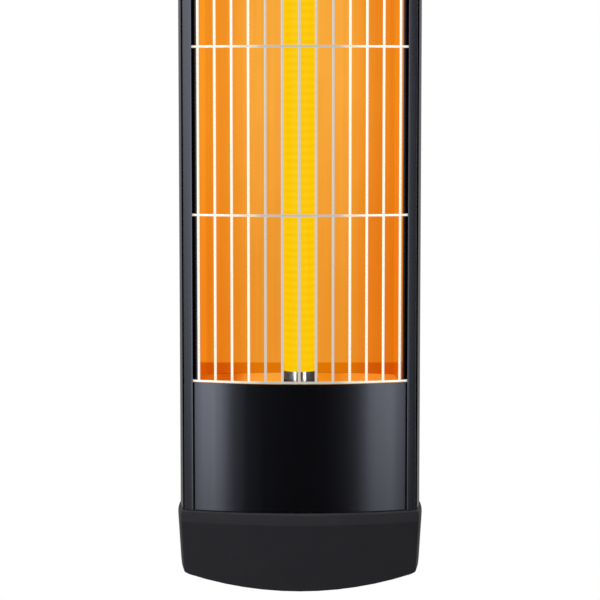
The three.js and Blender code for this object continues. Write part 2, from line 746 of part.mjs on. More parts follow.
// Front view of the cap's curved end with its two round corners, shrunk by an offset.
function cap_tip_outline(shrink, top) {
  const radius = cap_arc_radius - shrink;
  const centre_z = cap_arc_centre_z;
  const fillet = cap_fillet - shrink;
  const fillet_x = cap_corner_half - cap_fillet;
  const fillet_z = cap_corner_z;
  const tangent = Math.atan2(fillet_x, centre_z - fillet_z);
  const right = [[cap_corner_half + cap_side_draft + overrun, fillet_z]];
  for (let i = 0; i <= fillet_steps; i++) {
    const angle = (Math.PI / 2) * (1 - i / fillet_steps) + (tangent * i) / fillet_steps;
    right.push([fillet_x + fillet * Math.sin(angle), fillet_z - fillet * Math.cos(angle)]);
  }
  const tip = [];
  for (let i = 1; i < tip_steps; i++) {
    const angle = tangent * (1 - (2 * i) / tip_steps);
    tip.push([radius * Math.sin(angle), centre_z - radius * Math.cos(angle)]);
  }
  const top_right = [cap_corner_half + cap_side_draft + overrun, top];
  return outline([top_right, ...right, ...tip, ...mirrored([top_right, ...right])]);
}

// Screws of the end cap, each in a pocket of the curved end.
const cap_screw_depth = 18; // from the tip of the cap to the seat of its screws
const cap_screw_seat = cap_tip - cap_screw_depth;
const cap_pocket_radius = 4.2;
const cap_boss_radius = 6;
const cap_post_radius = 4.4;
const cap_boss_rise = 3;
const cap_screw_radius = 1.7;
const cap_screw_head_radius = 3.5;
const cap_screw_head = 2.6;
const cap_screw_length = 49;
const cap_screw_room = 0.4;
const screw_sides = 8;
const post_sides = 10;
const cap_screw_places = [-1, 1].flatMap((side) => [
  [side * front_port[0], front_port[1]],
  [side * rear_port[0], rear_port[1]],
]);

function end_cap() {
  const rim = -cap_rim;
  const below_tip = -cap_tip - overrun;
  const front = -cap_swell - overrun;
  const back = housing_depth + cap_swell + overrun;
  const swelling = Array.from({ length: rim_round_steps + 1 }, (_, i) => {
    const angle = ((Math.PI / 2) * (rim_round_steps - i)) / rim_round_steps;
    return [rim - cap_rim_round * (1 - Math.cos(angle)), cap_swell * Math.sin(angle)];
  });
  const outside = cap_column([[below_tip, cap_swell], ...swelling]);
  const tip = solid(backward(cap_tip_outline(0, rim + overrun), front, back));
  let cap = outside.intersect(tip);
  const hollow = cap_column([
    [below_tip, -cap_ledge],
    [rim + overrun, -cap_ledge],
  ]);
  const hollow_tip = solid(backward(cap_tip_outline(cap_floor, rim), front, back));
  cap = cap.subtract(hollow.intersect(hollow_tip));
  const bosses = cap_screw_places.map(([x, y]) => {
    const boss = solid(rod(cap_boss_radius, -cap_tip, -cap_screw_seat + cap_boss_rise, x, y, post_sides));
    return join(boss, rod(cap_post_radius, -cap_tip, rim, x, y, post_sides));
  });
  for (const boss of bosses) cap = cap.add(boss.intersect(tip).intersect(outside));
  for (const [x, y] of cap_screw_places) {
    cap = cut(
      cap,
      rod(cap_pocket_radius, -cap_tip - overrun, -cap_screw_seat, x, y, port_sides),
      rod(cap_screw_radius + cap_screw_room, -cap_tip, rim + overrun, x, y, screw_sides),
    );
  }
  return cap;
}

function end_cap_screw(x, y) {
  const seat = -cap_screw_seat - fit_gap;
  const profile = [
    [0, seat - cap_screw_head],
    [cap_screw_head_radius / 2, seat - cap_screw_head],
    [cap_screw_head_radius, seat - cap_screw_head / 2],
    [cap_screw_head_radius, seat],
    [cap_screw_radius, seat],
    [cap_screw_radius, seat + cap_screw_length],
    [0, seat + cap_screw_length],
  ];
  return turned(profile, x, y, screw_sides);
}

// Switch in the curved end of the lower cap.
const switch_y = housing_depth / 2;
const switch_half_x = 9.4;
const switch_half_y = 6.4;
const switch_bezel_rim = 1.2;
const switch_bezel = 1.8;
const switch_body_depth = 17;
const switch_hole_gap = 0.3;
const switch_well_wall = 0.6;
const switch_well_depth = 8.4;
const blade_x = 5;
const blade_half = 2.4;
const blade_thickness = 0.8;
const blade_length = 7;
const switch_face = -cap_tip - fit_gap;
const switch_top = switch_face + switch_body_depth;

function switch_frame() {
  const bezel_x = switch_half_x + switch_bezel_rim;
  const bezel_y = switch_half_y + switch_bezel_rim;
  const low = switch_face - switch_bezel;
  const well_x = switch_half_x - switch_well_wall;
  const well_y = switch_half_y - switch_well_wall;
  let frame = solid(
    block(-switch_half_x, switch_half_x, switch_y - switch_half_y, switch_y + switch_half_y, low, switch_top),
  );
  frame = join(frame, block(-bezel_x, bezel_x, switch_y - bezel_y, switch_y + bezel_y, low, switch_face));
  for (const x of [-blade_x, blade_x]) {
    frame = join(
      frame,
      block(
        x - blade_thickness / 2,
        x + blade_thickness / 2,
        switch_y - blade_half,
        switch_y + blade_half,
        switch_top - overrun,
        switch_top + blade_length,
      ),
    );
  }
  const well_top = low + switch_well_depth;
  return cut(frame, block(-well_x, well_x, switch_y - well_y, switch_y + well_y, low - overrun, well_top));
}

const rocker_half_x = 7.8;
const rocker_pivot_rise = 3.3; // of the rocker's pivot above the outside of the bezel
const rocker_pivot_z = switch_face - switch_bezel + rocker_pivot_rise;
const rocker_top = 2.2;
const rocker_end = 4.6;
const rocker_middle = 3;
const rocker_rest_angle = (10 * Math.PI) / 180;
const rocker_steps = 8;

function switch_rocker() {
  const depth_at = (x) => -rocker_middle - (rocker_end - rocker_middle) * (x / rocker_half_x) ** 2;
  const foot = Array.from({ length: rocker_steps + 1 }, (_, i) => {
    const x = -rocker_half_x + (2 * rocker_half_x * i) / rocker_steps;
    return [x, depth_at(x)];
  });
  const section = outline([...foot, [rocker_half_x, rocker_top], [-rocker_half_x, rocker_top]]);
  const half = switch_half_y - switch_well_wall - fit_gap;
  const geometry = backward(section, -half, half).rotateY(-rocker_rest_angle);
  return geometry.translate(0, switch_y, rocker_pivot_z);
}

// Cable gland in the back of the lower cap. It is open, with no lead in it.
const gland_from_tip = 25.2;
const gland_z = -cap_tip + gland_from_tip;
const gland_pad_rise = 3; // how far the pad stands out past the back of the housing
const gland_seat = housing_depth + gland_pad_rise;
const gland_pad_radius = 13;
const gland_hole_radius = 8.3;
const gland_thread_radius = 8;
const gland_sides = 20;
const gland_hex_radius = 11.2;
const gland_hex = 4.8;
const gland_inner_reach = 15;
const gland_outer_reach = 11;
const gland_bore_radius = 6.2;
const locknut_radius = 12.4;
const locknut_thickness = 4.2;
const gland_pad_depth = 7;
const gland_pad_inner = gland_seat - gland_pad_depth;
const dome_radius = 10.4;
const dome_nose_radius = 7;
const dome_length = 14;
const lead_bore_radius = 4.3;
const seal_radius = 5.9;
const seal_length = 13;

const gland_pad = () => rod_back(gland_pad_radius, gland_pad_inner, gland_seat, 0, gland_z, gland_sides);
const gland_opening = () =>
  rod_back(gland_hole_radius, gland_pad_inner - overrun, gland_seat + overrun, 0, gland_z, gland_sides);

function lower_cap() {
  const room = switch_hole_gap;
  const cap = join(end_cap(), gland_pad());
  return cut(
    cap,
    gland_opening(),
    block(
      -switch_half_x - room,
      switch_half_x + room,
      switch_y - switch_half_y - room,
      switch_y + switch_half_y + room,
      -cap_tip - overrun,
      -cap_tip + cap_floor + overrun,
    ),
  );
}

function gland_body() {
  const hex_front = gland_seat + fit_gap;
  const hex = solid(rod_back(gland_hex_radius, hex_front, hex_front + gland_hex, 0, gland_z, 6));
  const thread = rod_back(
    gland_thread_radius,
    gland_seat - gland_inner_reach,
    gland_seat + gland_outer_reach,
    0,
    gland_z,
    gland_sides,
  );
  const bore = rod_back(
    gland_bore_radius,
    gland_seat - gland_inner_reach - overrun,
    gland_seat + gland_outer_reach + overrun,
    0,
    gland_z,
    gland_sides,
  );
  return cut(join(hex, thread), bore);
}

function gland_locknut() {
  const back = gland_pad_inner - fit_gap;
  const nut = solid(rod_back(locknut_radius, back - locknut_thickness, back, 0, gland_z, 6));
  const front = back - locknut_thickness;
  const room = gland_thread_radius + fit_gap;
  return cut(nut, rod_back(room, front - overrun, back + overrun, 0, gland_z, gland_sides));
}

function gland_dome_nut() {
  const front = gland_seat + gland_hex + 2 * fit_gap;
  const pocket_end = gland_seat + gland_outer_reach + fit_gap;
  const pocket = gland_thread_radius + fit_gap;
  const profile = [
    [pocket, front],
    [dome_radius, front],
    [dome_radius, pocket_end],
    [dome_nose_radius, front + dome_length],
    [lead_bore_radius, front + dome_length],
    [lead_bore_radius, pocket_end],
    [pocket, pocket_end],
    [pocket, front],
  ];
  return turned_back(profile, 0, gland_z, gland_sides);
}

function gland_seal() {
  const back = gland_seat + gland_outer_reach;
  const profile = [
    [lead_bore_radius, back - seal_length],
    [seal_radius, back - seal_length],
    [seal_radius, back],
    [lead_bore_radius, back],
    [lead_bore_radius, back - seal_length],
  ];
  return turned_back(profile, 0, gland_z, gland_sides);
}

// Wiring of the lower end: a terminal block on the back, a thermal cut-out under the reflector end,
// and four leads.
const terminal_half_width = 13.4;
const terminal_depth = 16.5;
const terminal_gap = 5; // below the foot of the lamp holder
const terminal_top = holder_foot_low - terminal_gap;
const terminal_height = 17;
const terminal_pitch = 8.4;
const terminal_bore_radius = 1.7;
const terminal_bore_inset = 6.5;
const terminal_screw_radius = 1.9;
const terminal_back = housing_depth - back_wall - fit_gap;
const terminal_front = terminal_back - terminal_depth;
const terminal_bore_y = terminal_front + terminal_bore_inset;

function terminal_block() {
  const low = terminal_top - terminal_height;
  let body = solid(
    block(-terminal_half_width, terminal_half_width, terminal_front, terminal_back, low, terminal_top),
  );
  for (const place of [-1, 0, 1]) {
    const x = place * terminal_pitch;
    const middle = (low + terminal_top) / 2;
    body = cut(
      body,
      rod(terminal_bore_radius, low - overrun, terminal_top + overrun, x, terminal_bore_y, 10),
      rod_back(terminal_screw_radius, terminal_front - overrun, terminal_bore_y, x, middle, 10),
    );
  }
  return body;
}

const cutout_x = 34;
const cutout_y = 38;
const cutout_radius = 7.5;
const cutout_height = 6.4;
const cutout_blade_x = 4;
const cutout_top = -reflector_half_length - reflector_sheet - 2 * fit_gap;

function thermal_cutout() {
  const low = cutout_top - cutout_height;
  let body = solid(rod(cutout_radius, low, cutout_top, cutout_x, cutout_y, 20));
  for (const side of [-1, 1]) {
    const x = cutout_x + side * cutout_blade_x;
    body = join(
      body,
      block(
        x - blade_thickness / 2,
        x + blade_thickness / 2,
        cutout_y - blade_half,
        cutout_y + blade_half,
        low - blade_length,
        low + blade_thickness,
      ),
    );
  }
  return body;
}

const lead_radius = 1.3;
const lead_steps = 16;
const long_lead_steps = 40;

function lead(points, steps = lead_steps) {
  const path = new THREE.CatmullRomCurve3(points.map((p) => new THREE.Vector3(...p)));
  const section = wire_section(lead_radius);
  return new THREE.ExtrudeGeometry(section, { steps, extrudePath: path, bevelEnabled: false });
}

// Routes of the leads, each from the piece it starts at to the piece it ends at.
const lead_stub = 4; // straight run out of a terminal
const duct_x = 45;
const duct_from_back = 15;
const duct_reach = 13.6; // past the ends of the lit stretch
const duct_y = housing_depth - duct_from_back;
const duct_end = lit_half_length + duct_reach;
const insulator_lead_z = insulator_bottom - fit_gap;
const cutout_blade_z = cutout_top - cutout_height - blade_length - fit_gap;
const switch_blade_z = switch_top + blade_length + fit_gap;
const terminal_low = terminal_top - terminal_height;

const lead_upper_lamp = () =>
  lead(
    [
      [0, lamp_y, -insulator_lead_z],
      [0, lamp_y, -insulator_lead_z + lead_stub],
      [duct_x / 2, (lamp_y + duct_y) / 2, -insulator_lead_z + 2 * lead_stub],
      [duct_x, duct_y, duct_end + lead_stub],
      [duct_x, duct_y, duct_end],
      [duct_x, duct_y, 0],
      [duct_x, duct_y, -duct_end],
      [duct_x, duct_y, cutout_blade_z - lead_stub],
      [cutout_x + cutout_blade_x, (cutout_y + duct_y) / 2, cutout_blade_z - 3 * lead_stub],
      [cutout_x + cutout_blade_x, cutout_y, cutout_blade_z - lead_stub],
      [cutout_x + cutout_blade_x, cutout_y, cutout_blade_z],
    ],
    long_lead_steps,
  );

const lead_cutout = () =>
  lead([
    [cutout_x - cutout_blade_x, cutout_y, cutout_blade_z],
    [cutout_x - cutout_blade_x, cutout_y, cutout_blade_z - lead_stub],
    [(cutout_x + terminal_pitch) / 2, (cutout_y + terminal_bore_y) / 2, cutout_blade_z - 4 * lead_stub],
    [terminal_pitch, terminal_bore_y, terminal_top + 2 * lead_stub],
    [terminal_pitch, terminal_bore_y, terminal_top + fit_gap],
  ]);

const lead_switch = () =>
  lead([
    [terminal_pitch, terminal_bore_y, terminal_low - fit_gap],
    [terminal_pitch, terminal_bore_y, terminal_low - lead_stub],
    [(terminal_pitch + blade_x) / 2, (terminal_bore_y + switch_y) / 2, switch_blade_z + 3 * lead_stub],
    [blade_x, switch_y, switch_blade_z + lead_stub],
    [blade_x, switch_y, switch_blade_z],
  ]);

const lead_lower_lamp = () =>
  lead([
    [0, lamp_y, insulator_lead_z],
    [0, lamp_y, insulator_lead_z - lead_stub],
    [-blade_x, lamp_y, (insulator_lead_z + switch_blade_z) / 2],
    [-blade_x, switch_y, switch_blade_z + lead_stub],
    [-blade_x, switch_y, switch_blade_z],
  ]);

// Wall bracket: a plate on the wall with an ear. Bracket arm: a plate on the heater with an ear. The
// two ears turn on a bolt, and a second bolt in an arc slot limits and locks the tilt.
const bracket_from_lit_end = 28.4;
const bracket_z = lit_half_length - bracket_from_lit_end;
const bracket_steel = 2.5;
const pivot_from_wall = 27;
const wall_plate_half = 23;
const wall_plate_drop = 40; // from the middle of the bracket down to the edge of the wall plate
const wall_slot_z = 17; // wall screws above and below the middle of the wall plate
const wall_slot_radius = 3.2;
const wall_slot_half = 7;
const wall_ear_radius = 13;
const arm_plate_half = 30;
const arm_plate_half_height = 17;
const arm_ear_half = 24;
const arm_ear_radius = 19;
const lock_radius = 15; // pivot to lock bolt
const tilt_angle = (30 * Math.PI) / 180;
const tilt_margin = (2 * Math.PI) / 180;
const pivot_bolt_radius = 3;
const lock_bolt_radius = 2.5;
const bolt_room = 0.4;
const plate_corner = 5;
const slot_steps = 10;
const end_steps = 6;
const pivot_y = wall_face - pivot_from_wall;
const arm_front = housing_depth + fit_gap;
const arm_back = arm_front + bracket_steel;
const arm_ear_top = -bracket_z + arm_plate_half_height;
const wall_ear_low = arm_ear_top + fit_gap;
const wall_ear_top = wall_ear_low + bracket_steel;
const wall_plate_low = -bracket_z - wall_plate_drop;
const wall_plate_middle = (wall_plate_low + wall_ear_top) / 2;

// A plate whose two lower corners are round, seen from the front.
function plate_outline(x_half, low, high) {
  const centre_x = x_half - plate_corner;
  const centre_z = low + plate_corner;
  return outline([
    [-x_half, high],
    ...arc_points(-centre_x, centre_z, plate_corner, Math.PI, (3 * Math.PI) / 2, corner_steps),
    ...arc_points(centre_x, centre_z, plate_corner, (3 * Math.PI) / 2, 2 * Math.PI, corner_steps),
    [x_half, high],
  ]);
}

// An ear that narrows from its bend to a round end about the pivot, seen from above.
function ear_outline(bend_y, half, round_radius) {
  const turn = Math.PI * Math.sign(bend_y - pivot_y);
  const shape = outline([
    [-half, bend_y],
    ...arc_points(0, pivot_y, round_radius, Math.PI, Math.PI + turn, hole_steps),
    [half, bend_y],
  ]);
  shape.holes.push(round_hole(0, pivot_y, pivot_bolt_radius + bolt_room));
  return shape;
}

// The arc slot that the lock bolt travels in, about the pivot.
function lock_slot() {
  const reach = tilt_angle + tilt_margin;
  const half_width = lock_bolt_radius + bolt_room;
  const [from, to] = [Math.PI / 2 - reach, Math.PI / 2 + reach];
  const [[start_x, start_y], [end_x, end_y]] = arc_points(0, pivot_y, lock_radius, from, to, 1);
  return hole_through([
    ...arc_points(0, pivot_y, lock_radius + half_width, from, to, slot_steps),
    ...arc_points(end_x, end_y, half_width, to, to + Math.PI, end_steps).slice(1, -1),
    ...arc_points(0, pivot_y, lock_radius - half_width, to, from, slot_steps),
    ...arc_points(start_x, start_y, half_width, from + Math.PI, from + 2 * Math.PI, end_steps).slice(1, -1),
  ]);
}

function wall_bracket() {
  const plate_shape = plate_outline(wall_plate_half, wall_plate_low, wall_ear_top);
  for (const side of [-1, 1]) {
    const slot_z = wall_plate_middle + side * wall_slot_z;
    plate_shape.holes.push(slot_hole(0, slot_z, wall_slot_half, wall_slot_radius));
  }
  const bend = wall_face - bracket_steel;
  const ear = ear_outline(bend + bracket_steel / 2, wall_plate_half, wall_ear_radius);
  ear.holes.push(lock_slot());
  return join(solid(backward(plate_shape, bend, wall_face)), upright(ear, wall_ear_low, wall_ear_top));
}

function bracket_arm() {
  const plate_shape = plate_outline(arm_plate_half, -bracket_z - arm_plate_half_height, arm_ear_top);
  for (const side of [-1, 1]) {
    plate_shape.holes.push(round_hole(side * tee_x, -bracket_z, pivot_bolt_radius + bolt_room));
  }
  const ear = ear_outline(arm_back - bracket_steel / 2, arm_ear_half, arm_ear_radius);
  ear.holes.push(round_hole(0, pivot_y + lock_radius, lock_bolt_radius + bolt_room));
  return join(
    solid(backward(plate_shape, arm_front, arm_back)),
    upright(ear, arm_ear_top - bracket_steel, arm_ear_top),
  );
}

// Bolts and nuts. Heads and nuts are hexagons given by the radius of their corners.
const m6_corner = 5.77;
const m6_head = 4;
const m6_nut = 5;
const m5_corner = 4.6;
const m5_head = 3.5;
const m5_nut = 4;
const bolt_end = 1.5; // thread showing past a nut
const thread_gap = 0.2;

function upright_bolt(radius, corner, head, y, head_low, shank_low) {
  const shank = solid(rod(radius, shank_low, head_low + head / 2, 0, y, 12));
  return join(shank, rod(corner, head_low, head_low + head, 0, y, 6));
}

function upright_nut(radius, corner, thickness, y, top) {
  const nut = solid(rod(corner, top - thickness, top, 0, y, 6));
  return cut(nut, rod(radius + thread_gap, top - thickness - overrun, top + overrun, 0, y, 12));
}

const ear_pair_low = arm_ear_top - bracket_steel - fit_gap;
const ear_pair_top = wall_ear_top + fit_gap;
const pivot_end = ear_pair_low - m6_nut - bolt_end;
const pivot_bolt = () =>
  upright_bolt(pivot_bolt_radius, m6_corner, m6_head, pivot_y, ear_pair_top, pivot_end);
const pivot_nut = () => upright_nut(pivot_bolt_radius, m6_corner, m6_nut, pivot_y, ear_pair_low);
const lock_y = pivot_y + lock_radius;
const lock_end = ear_pair_low - m5_nut - bolt_end;
const lock_bolt = () =>
  upright_bolt(lock_bolt_radius, m5_corner, m5_head, lock_y, ear_pair_top, lock_end);
const lock_nut = () => upright_nut(lock_bolt_radius, m5_corner, m5_nut, lock_y, ear_pair_low);

const tee_head_half = 5;
const tee_head = 3.4;
const tee_head_back = housing_depth - tee_lip - fit_gap;
const tee_nut_front = arm_back + fit_gap;

function tee_bolt(x) {
  const head = solid(
    block(
      x - tee_head_half,
      x + tee_head_half,
      tee_head_back - tee_head,
      tee_head_back,
      -bracket_z - tee_head_half,
      -bracket_z + tee_head_half,
    ),
  );
  const shank_end = tee_nut_front + m6_nut + bolt_end;
  return join(head, rod_back(pivot_bolt_radius, tee_head_back - tee_head / 2, shank_end, x, -bracket_z, 12));
}

function tee_nut(x) {
  const back = tee_nut_front + m6_nut;
  const nut = solid(rod_back(m6_corner, tee_nut_front, back, x, -bracket_z, 6));
  const room = pivot_bolt_radius + thread_gap;
  return cut(nut, rod_back(room, tee_nut_front - overrun, back + overrun, x, -bracket_z, port_sides));
}

// The assembly.
const heater = new THREE.Group();
heater.position.y = -wall_face;

add(heater, "housing", housing(), black_anodised);
add(heater, "wire_guard", wire_guard(), chromed_wire);
add(heater, "reflector", reflector(), glowing_reflector);
add(heater, "quartz_tube", quartz_tube(), quartz);
add(heater, "heating_coil", heating_coil(), glowing_wire);
add(heater, "switch_frame", switch_frame(), black_plastic);
add(heater, "switch_rocker", switch_rocker(), black_plastic);
add(heater, "gland_body", gland_body(), black_plastic);
add(heater, "gland_locknut", gland_locknut(), black_plastic);
add(heater, "gland_dome_nut", gland_dome_nut(), black_plastic);
add(heater, "gland_seal", gland_seal(), rubber);
add(heater, "terminal_block", terminal_block(), nylon);
add(heater, "thermal_cutout", thermal_cutout(), ceramic);
add(heater, "lead_upper_lamp", lead_upper_lamp(), silicone_lead);
add(heater, "lead_cutout", lead_cutout(), silicone_lead);
add(heater, "lead_switch", lead_switch(), silicone_lead);
add(heater, "lead_lower_lamp", lead_lower_lamp(), silicone_lead);

for (const end_name of ["lower", "upper"]) {
  const end = new THREE.Group();
  if (end_name === "upper") end.rotation.y = Math.PI;
  heater.add(end);
  const put = (name, form, finish) => add(end, name + "_" + end_name, form, finish);
  put("end_cap", end_name === "lower" ? lower_cap() : end_cap(), black_plastic);
  cap_screw_places.forEach(([x, y], i) => put("end_cap_screw_" + (i + 1), end_cap_screw(x, y), zinc_steel));
  put("front_cover", front_cover(), black_anodised);
  put("reflector_end", reflector_end(), glowing_reflector);
  put("lamp_ferrule", lamp_ferrule(), bright_steel);
  put("lamp_insulator", lamp_insulator(), ceramic);
  put("lamp_holder", lamp_holder(), zinc_steel);
  put("holder_screw", holder_screw(), zinc_steel);
  put("wall_bracket", wall_bracket(), black_steel);
  put("bracket_arm", bracket_arm(), black_steel);
  put("pivot_bolt", pivot_bolt(), zinc_steel);
  put("pivot_nut", pivot_nut(), zinc_steel);
  put("lock_bolt", lock_bolt(), zinc_steel);
  put("lock_nut", lock_nut(), zinc_steel);
  [-tee_x, tee_x].forEach((x, i) => {
    put("tee_bolt_" + (i + 1), tee_bolt(x), zinc_steel);
    put("tee_nut_" + (i + 1), tee_nut(x), zinc_steel);
  });
}

export default heater;
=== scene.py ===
from math import asin, cos, pi, radians, sin, sqrt

import bpy
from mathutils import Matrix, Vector


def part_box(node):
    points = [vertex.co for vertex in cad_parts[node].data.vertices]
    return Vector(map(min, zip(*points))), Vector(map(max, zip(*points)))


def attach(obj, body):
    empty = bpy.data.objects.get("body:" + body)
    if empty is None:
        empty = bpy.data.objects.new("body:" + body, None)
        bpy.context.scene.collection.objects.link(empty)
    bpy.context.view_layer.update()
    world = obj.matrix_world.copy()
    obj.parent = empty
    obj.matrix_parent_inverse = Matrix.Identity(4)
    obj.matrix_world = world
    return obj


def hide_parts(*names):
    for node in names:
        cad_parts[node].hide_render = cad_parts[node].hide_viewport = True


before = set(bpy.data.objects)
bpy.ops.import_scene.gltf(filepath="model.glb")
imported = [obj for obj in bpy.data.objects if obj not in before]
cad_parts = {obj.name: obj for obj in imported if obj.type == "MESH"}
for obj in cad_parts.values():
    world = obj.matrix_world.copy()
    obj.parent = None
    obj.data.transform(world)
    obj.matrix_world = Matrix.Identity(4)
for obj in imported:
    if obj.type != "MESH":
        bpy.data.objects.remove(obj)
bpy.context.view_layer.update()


# Camera. It stands square in front of the heater, level with its middle, and looks down a little at
# the lower half, which is all that the photograph takes in.
camera_stand = Vector((0, -1.522, -0.031))
camera_dip = radians(5.47)
camera_sensor_mm = 36
camera_lens_mm = 128.7
bpy.ops.object.camera_add(location=camera_stand, rotation=(pi / 2 - camera_dip, 0, 0))
camera = bpy.context.object
camera.name = "camera"
camera.data.sensor_width = camera_sensor_mm
camera.data.lens = camera_lens_mm
bpy.context.scene.camera = camera
bpy.context.scene.view_settings.view_transform = "Standard"


# Studio. A white surround, a pale floor well below, and at each side of the camera a tall soft box
# that dims downwards. Only metal and gloss show the screens: a dark one behind the camera, and a
# grey one between two bright ones behind the heater.
class Signal:
    """One output of a shader node. A sum on it adds the Math nodes that work the sum out."""

    def __init__(self, nodes, socket):
        self.nodes = nodes
        self.socket = socket

    def maths(self, operation, *values):
        return self.nodes.add("ShaderNodeMath", {"operation": operation}, dict(enumerate(values)))

    def __add__(self, other):
        return self.maths("ADD", self, other)

    def __radd__(self, other):
        return self.maths("ADD", other, self)

    def __sub__(self, other):
        return self.maths("SUBTRACT", self, other)

    def __rsub__(self, other):
        return self.maths("SUBTRACT", other, self)

    def __mul__(self, other):
        return self.maths("MULTIPLY", self, other)

    def __rmul__(self, other):
        return self.maths("MULTIPLY", other, self)

    def __abs__(self):
        return self.maths("ABSOLUTE", self)

    def sine(self):
        return self.maths("SINE", self)

    def or_more(self, other):
        return self.maths("MAXIMUM", self, other)

    def rise(self, low, high):
        """0 where this is below low, 1 where it is above high, and a smooth rise between."""
        settings = {"interpolation_type": "SMOOTHSTEP"}
        return self.nodes.add(
            "ShaderNodeMapRange", settings, {"Value": self, "From Min": low, "From Max": high}
        )


class Nodes:
    """The shader nodes of the surround, of the floor or of one finish."""

    def __init__(self, owner):
        owner.use_nodes = True
        self.tree = owner.node_tree

    def add(self, kind, settings=None, sockets=None, output=0):
        """A new node with its settings, then its sockets' values or links. Returns one output."""
        node = self.tree.nodes.new(kind)
        for name, value in (settings or {}).items():
            setattr(node, name, value)
        for name, value in (sockets or {}).items():
            self.feed(node.inputs[name], value)
        return Signal(self, node.outputs[output])

    def feed(self, socket, value):
        if isinstance(value, Signal):
            self.tree.links.new(value.socket, socket)
        else:
            socket.default_value = value

    def seen_by_eye_or_mirror(self):
        """1 for camera rays and for what shows in metal and through glass, otherwise 0."""
        rays = [
            self.add("ShaderNodeLightPath", output=f"Is {kind} Ray")
            for kind in ("Camera", "Glossy", "Transmission")
        ]
        return rays[0].or_more(rays[1]).or_more(rays[2])


white = (1, 1, 1, 1)
ambient_light = 0.42
surround = bpy.data.worlds.new("white surround")
bpy.context.scene.world = surround
surround_nodes = Nodes(surround)
surround_shader = surround.node_tree.nodes["Background"]
surround_shader.inputs["Color"].default_value = white
surround_nodes.feed(
    surround_shader.inputs["Strength"],
    surround_nodes.seen_by_eye_or_mirror() * (1 - ambient_light) + ambient_light,
)

soft_box_distance = 1.6
soft_box_low = -0.88
soft_box_high = 1
soft_box_aim_y = -0.1
soft_box_aim = Vector((0, soft_box_aim_y, (soft_box_low + soft_box_high) / 2))
outer_half = (1.01, 1.05)
inner_fade = (-0.85, -0.36)
outer_fade = (-0.62, 0.3)
outer_least_share = 0.12
for name, bearing, width, inner_radiance, outer_radiance in (
    ("left", radians(-44), 0.8, 7.6, 5.6),
    ("right", radians(41), 0.86, 5.6, 0.3),
):
    towards = Vector((sin(bearing), -cos(bearing), 0))
    bpy.ops.mesh.primitive_plane_add(
        size=1,
        location=soft_box_aim + soft_box_distance * towards,
        rotation=(-towards).to_track_quat("Z", "Y").to_euler(),
    )
    box = bpy.context.object
    box.name = "soft_box_" + name
    box.scale = (width, soft_box_high - soft_box_low, 1)
    box.visible_camera = False
    box.visible_shadow = False
    cloth = bpy.data.materials.new(name + " soft box cloth")
    cloth_nodes = Nodes(cloth)
    cloth_place = cloth_nodes.add("ShaderNodeNewGeometry", output="Position")
    cloth_x = cloth_nodes.add("ShaderNodeSeparateXYZ", None, {0: cloth_place}, "X")
    cloth_z = cloth_nodes.add("ShaderNodeSeparateXYZ", None, {0: cloth_place}, "Z")
    inner_light = cloth_z.rise(*inner_fade) * inner_radiance
    outer_share = cloth_z.rise(*outer_fade) * (1 - outer_least_share) + outer_least_share
    outer_light = outer_share * outer_radiance
    outwards = abs(cloth_x).rise(*outer_half)
    facing_away = cloth_nodes.add("ShaderNodeNewGeometry", output="Backfacing")
    light = (outwards * outer_light + (1 - outwards) * inner_light) * (1 - facing_away)
    cloth_glow = cloth_nodes.add("ShaderNodeEmission", None, {"Color": white, "Strength": light})
    cloth_nodes.feed(cloth.node_tree.nodes["Material Output"].inputs["Surface"], cloth_glow)
    box.data.materials.append(cloth)

screen_height = 8
back_screens_y = 1.5
grey_width = 2.2
bright_width = 1.4
bright_x = (grey_width + bright_width) / 2
bright_radiance = 2.5
for name, stand, width, radiance in (
    ("dark_screen", (1.15, -2.3, 0), 4.6, 0),
    ("grey_screen", (0, back_screens_y, 0), grey_width, 0.25),
    ("bright_screen_left", (-bright_x, back_screens_y, 0), bright_width, bright_radiance),
    ("bright_screen_right", (bright_x, back_screens_y, 0), bright_width, bright_radiance),
):
    bpy.ops.mesh.primitive_plane_add(size=1, location=stand, rotation=(pi / 2, 0, 0))
    screen = bpy.context.object
    screen.name = name
    screen.scale = (width, screen_height, 1)
    screen.visible_camera = False
    screen.visible_diffuse = False
    screen.visible_shadow = False
    cloth = bpy.data.materials.new(name + " cloth")
    cloth_nodes = Nodes(cloth)
    cloth_glow = cloth_nodes.add("ShaderNodeEmission", None, {"Color": white, "Strength": radiance})
    cloth_nodes.feed(cloth.node_tree.nodes["Material Output"].inputs["Surface"], cloth_glow)
    screen.data.materials.append(cloth)

floor_level = -0.9
floor_radius = 6
floor_sides = 96
floor_fade = (1.2, 2)
floor_least_white = 0.45
bpy.ops.mesh.primitive_circle_add(
    vertices=floor_sides, radius=floor_radius, fill_type="NGON", location=(0, 0, floor_level)
)
floor = bpy.context.object
floor.name = "floor"
floor.visible_glossy = False
floor_paint = bpy.data.materials.new("pale floor")
floor_nodes = Nodes(floor_paint)
floor_shader = floor_paint.node_tree.nodes["Principled BSDF"]
floor_shader.inputs["Base Color"].default_value = (0.86, 0.86, 0.86, 1)
floor_shader.inputs["Roughness"].default_value = 0.9
floor_shader.inputs["Specular IOR Level"].default_value = 0.1
from_middle = floor_nodes.add(
    "ShaderNodeVectorMath",
    {"operation": "LENGTH"},
    {0: floor_nodes.add("ShaderNodeTexCoord", output="Object")},
    output="Value",
)
whiter = from_middle.rise(*floor_fade) * (1 - floor_least_white) + floor_least_white
floor_white = floor_nodes.add("ShaderNodeEmission", None, {"Color": white, "Strength": 1})
floor_mix = floor_nodes.add(
    "ShaderNodeMixShader",
    None,
    {
        0: whiter * floor_nodes.seen_by_eye_or_mirror(),
        1: Signal(floor_nodes, floor_shader.outputs["BSDF"]),
        2: floor_white,
    },
)
floor_nodes.feed(floor_paint.node_tree.nodes["Material Output"].inputs["Surface"], floor_mix)
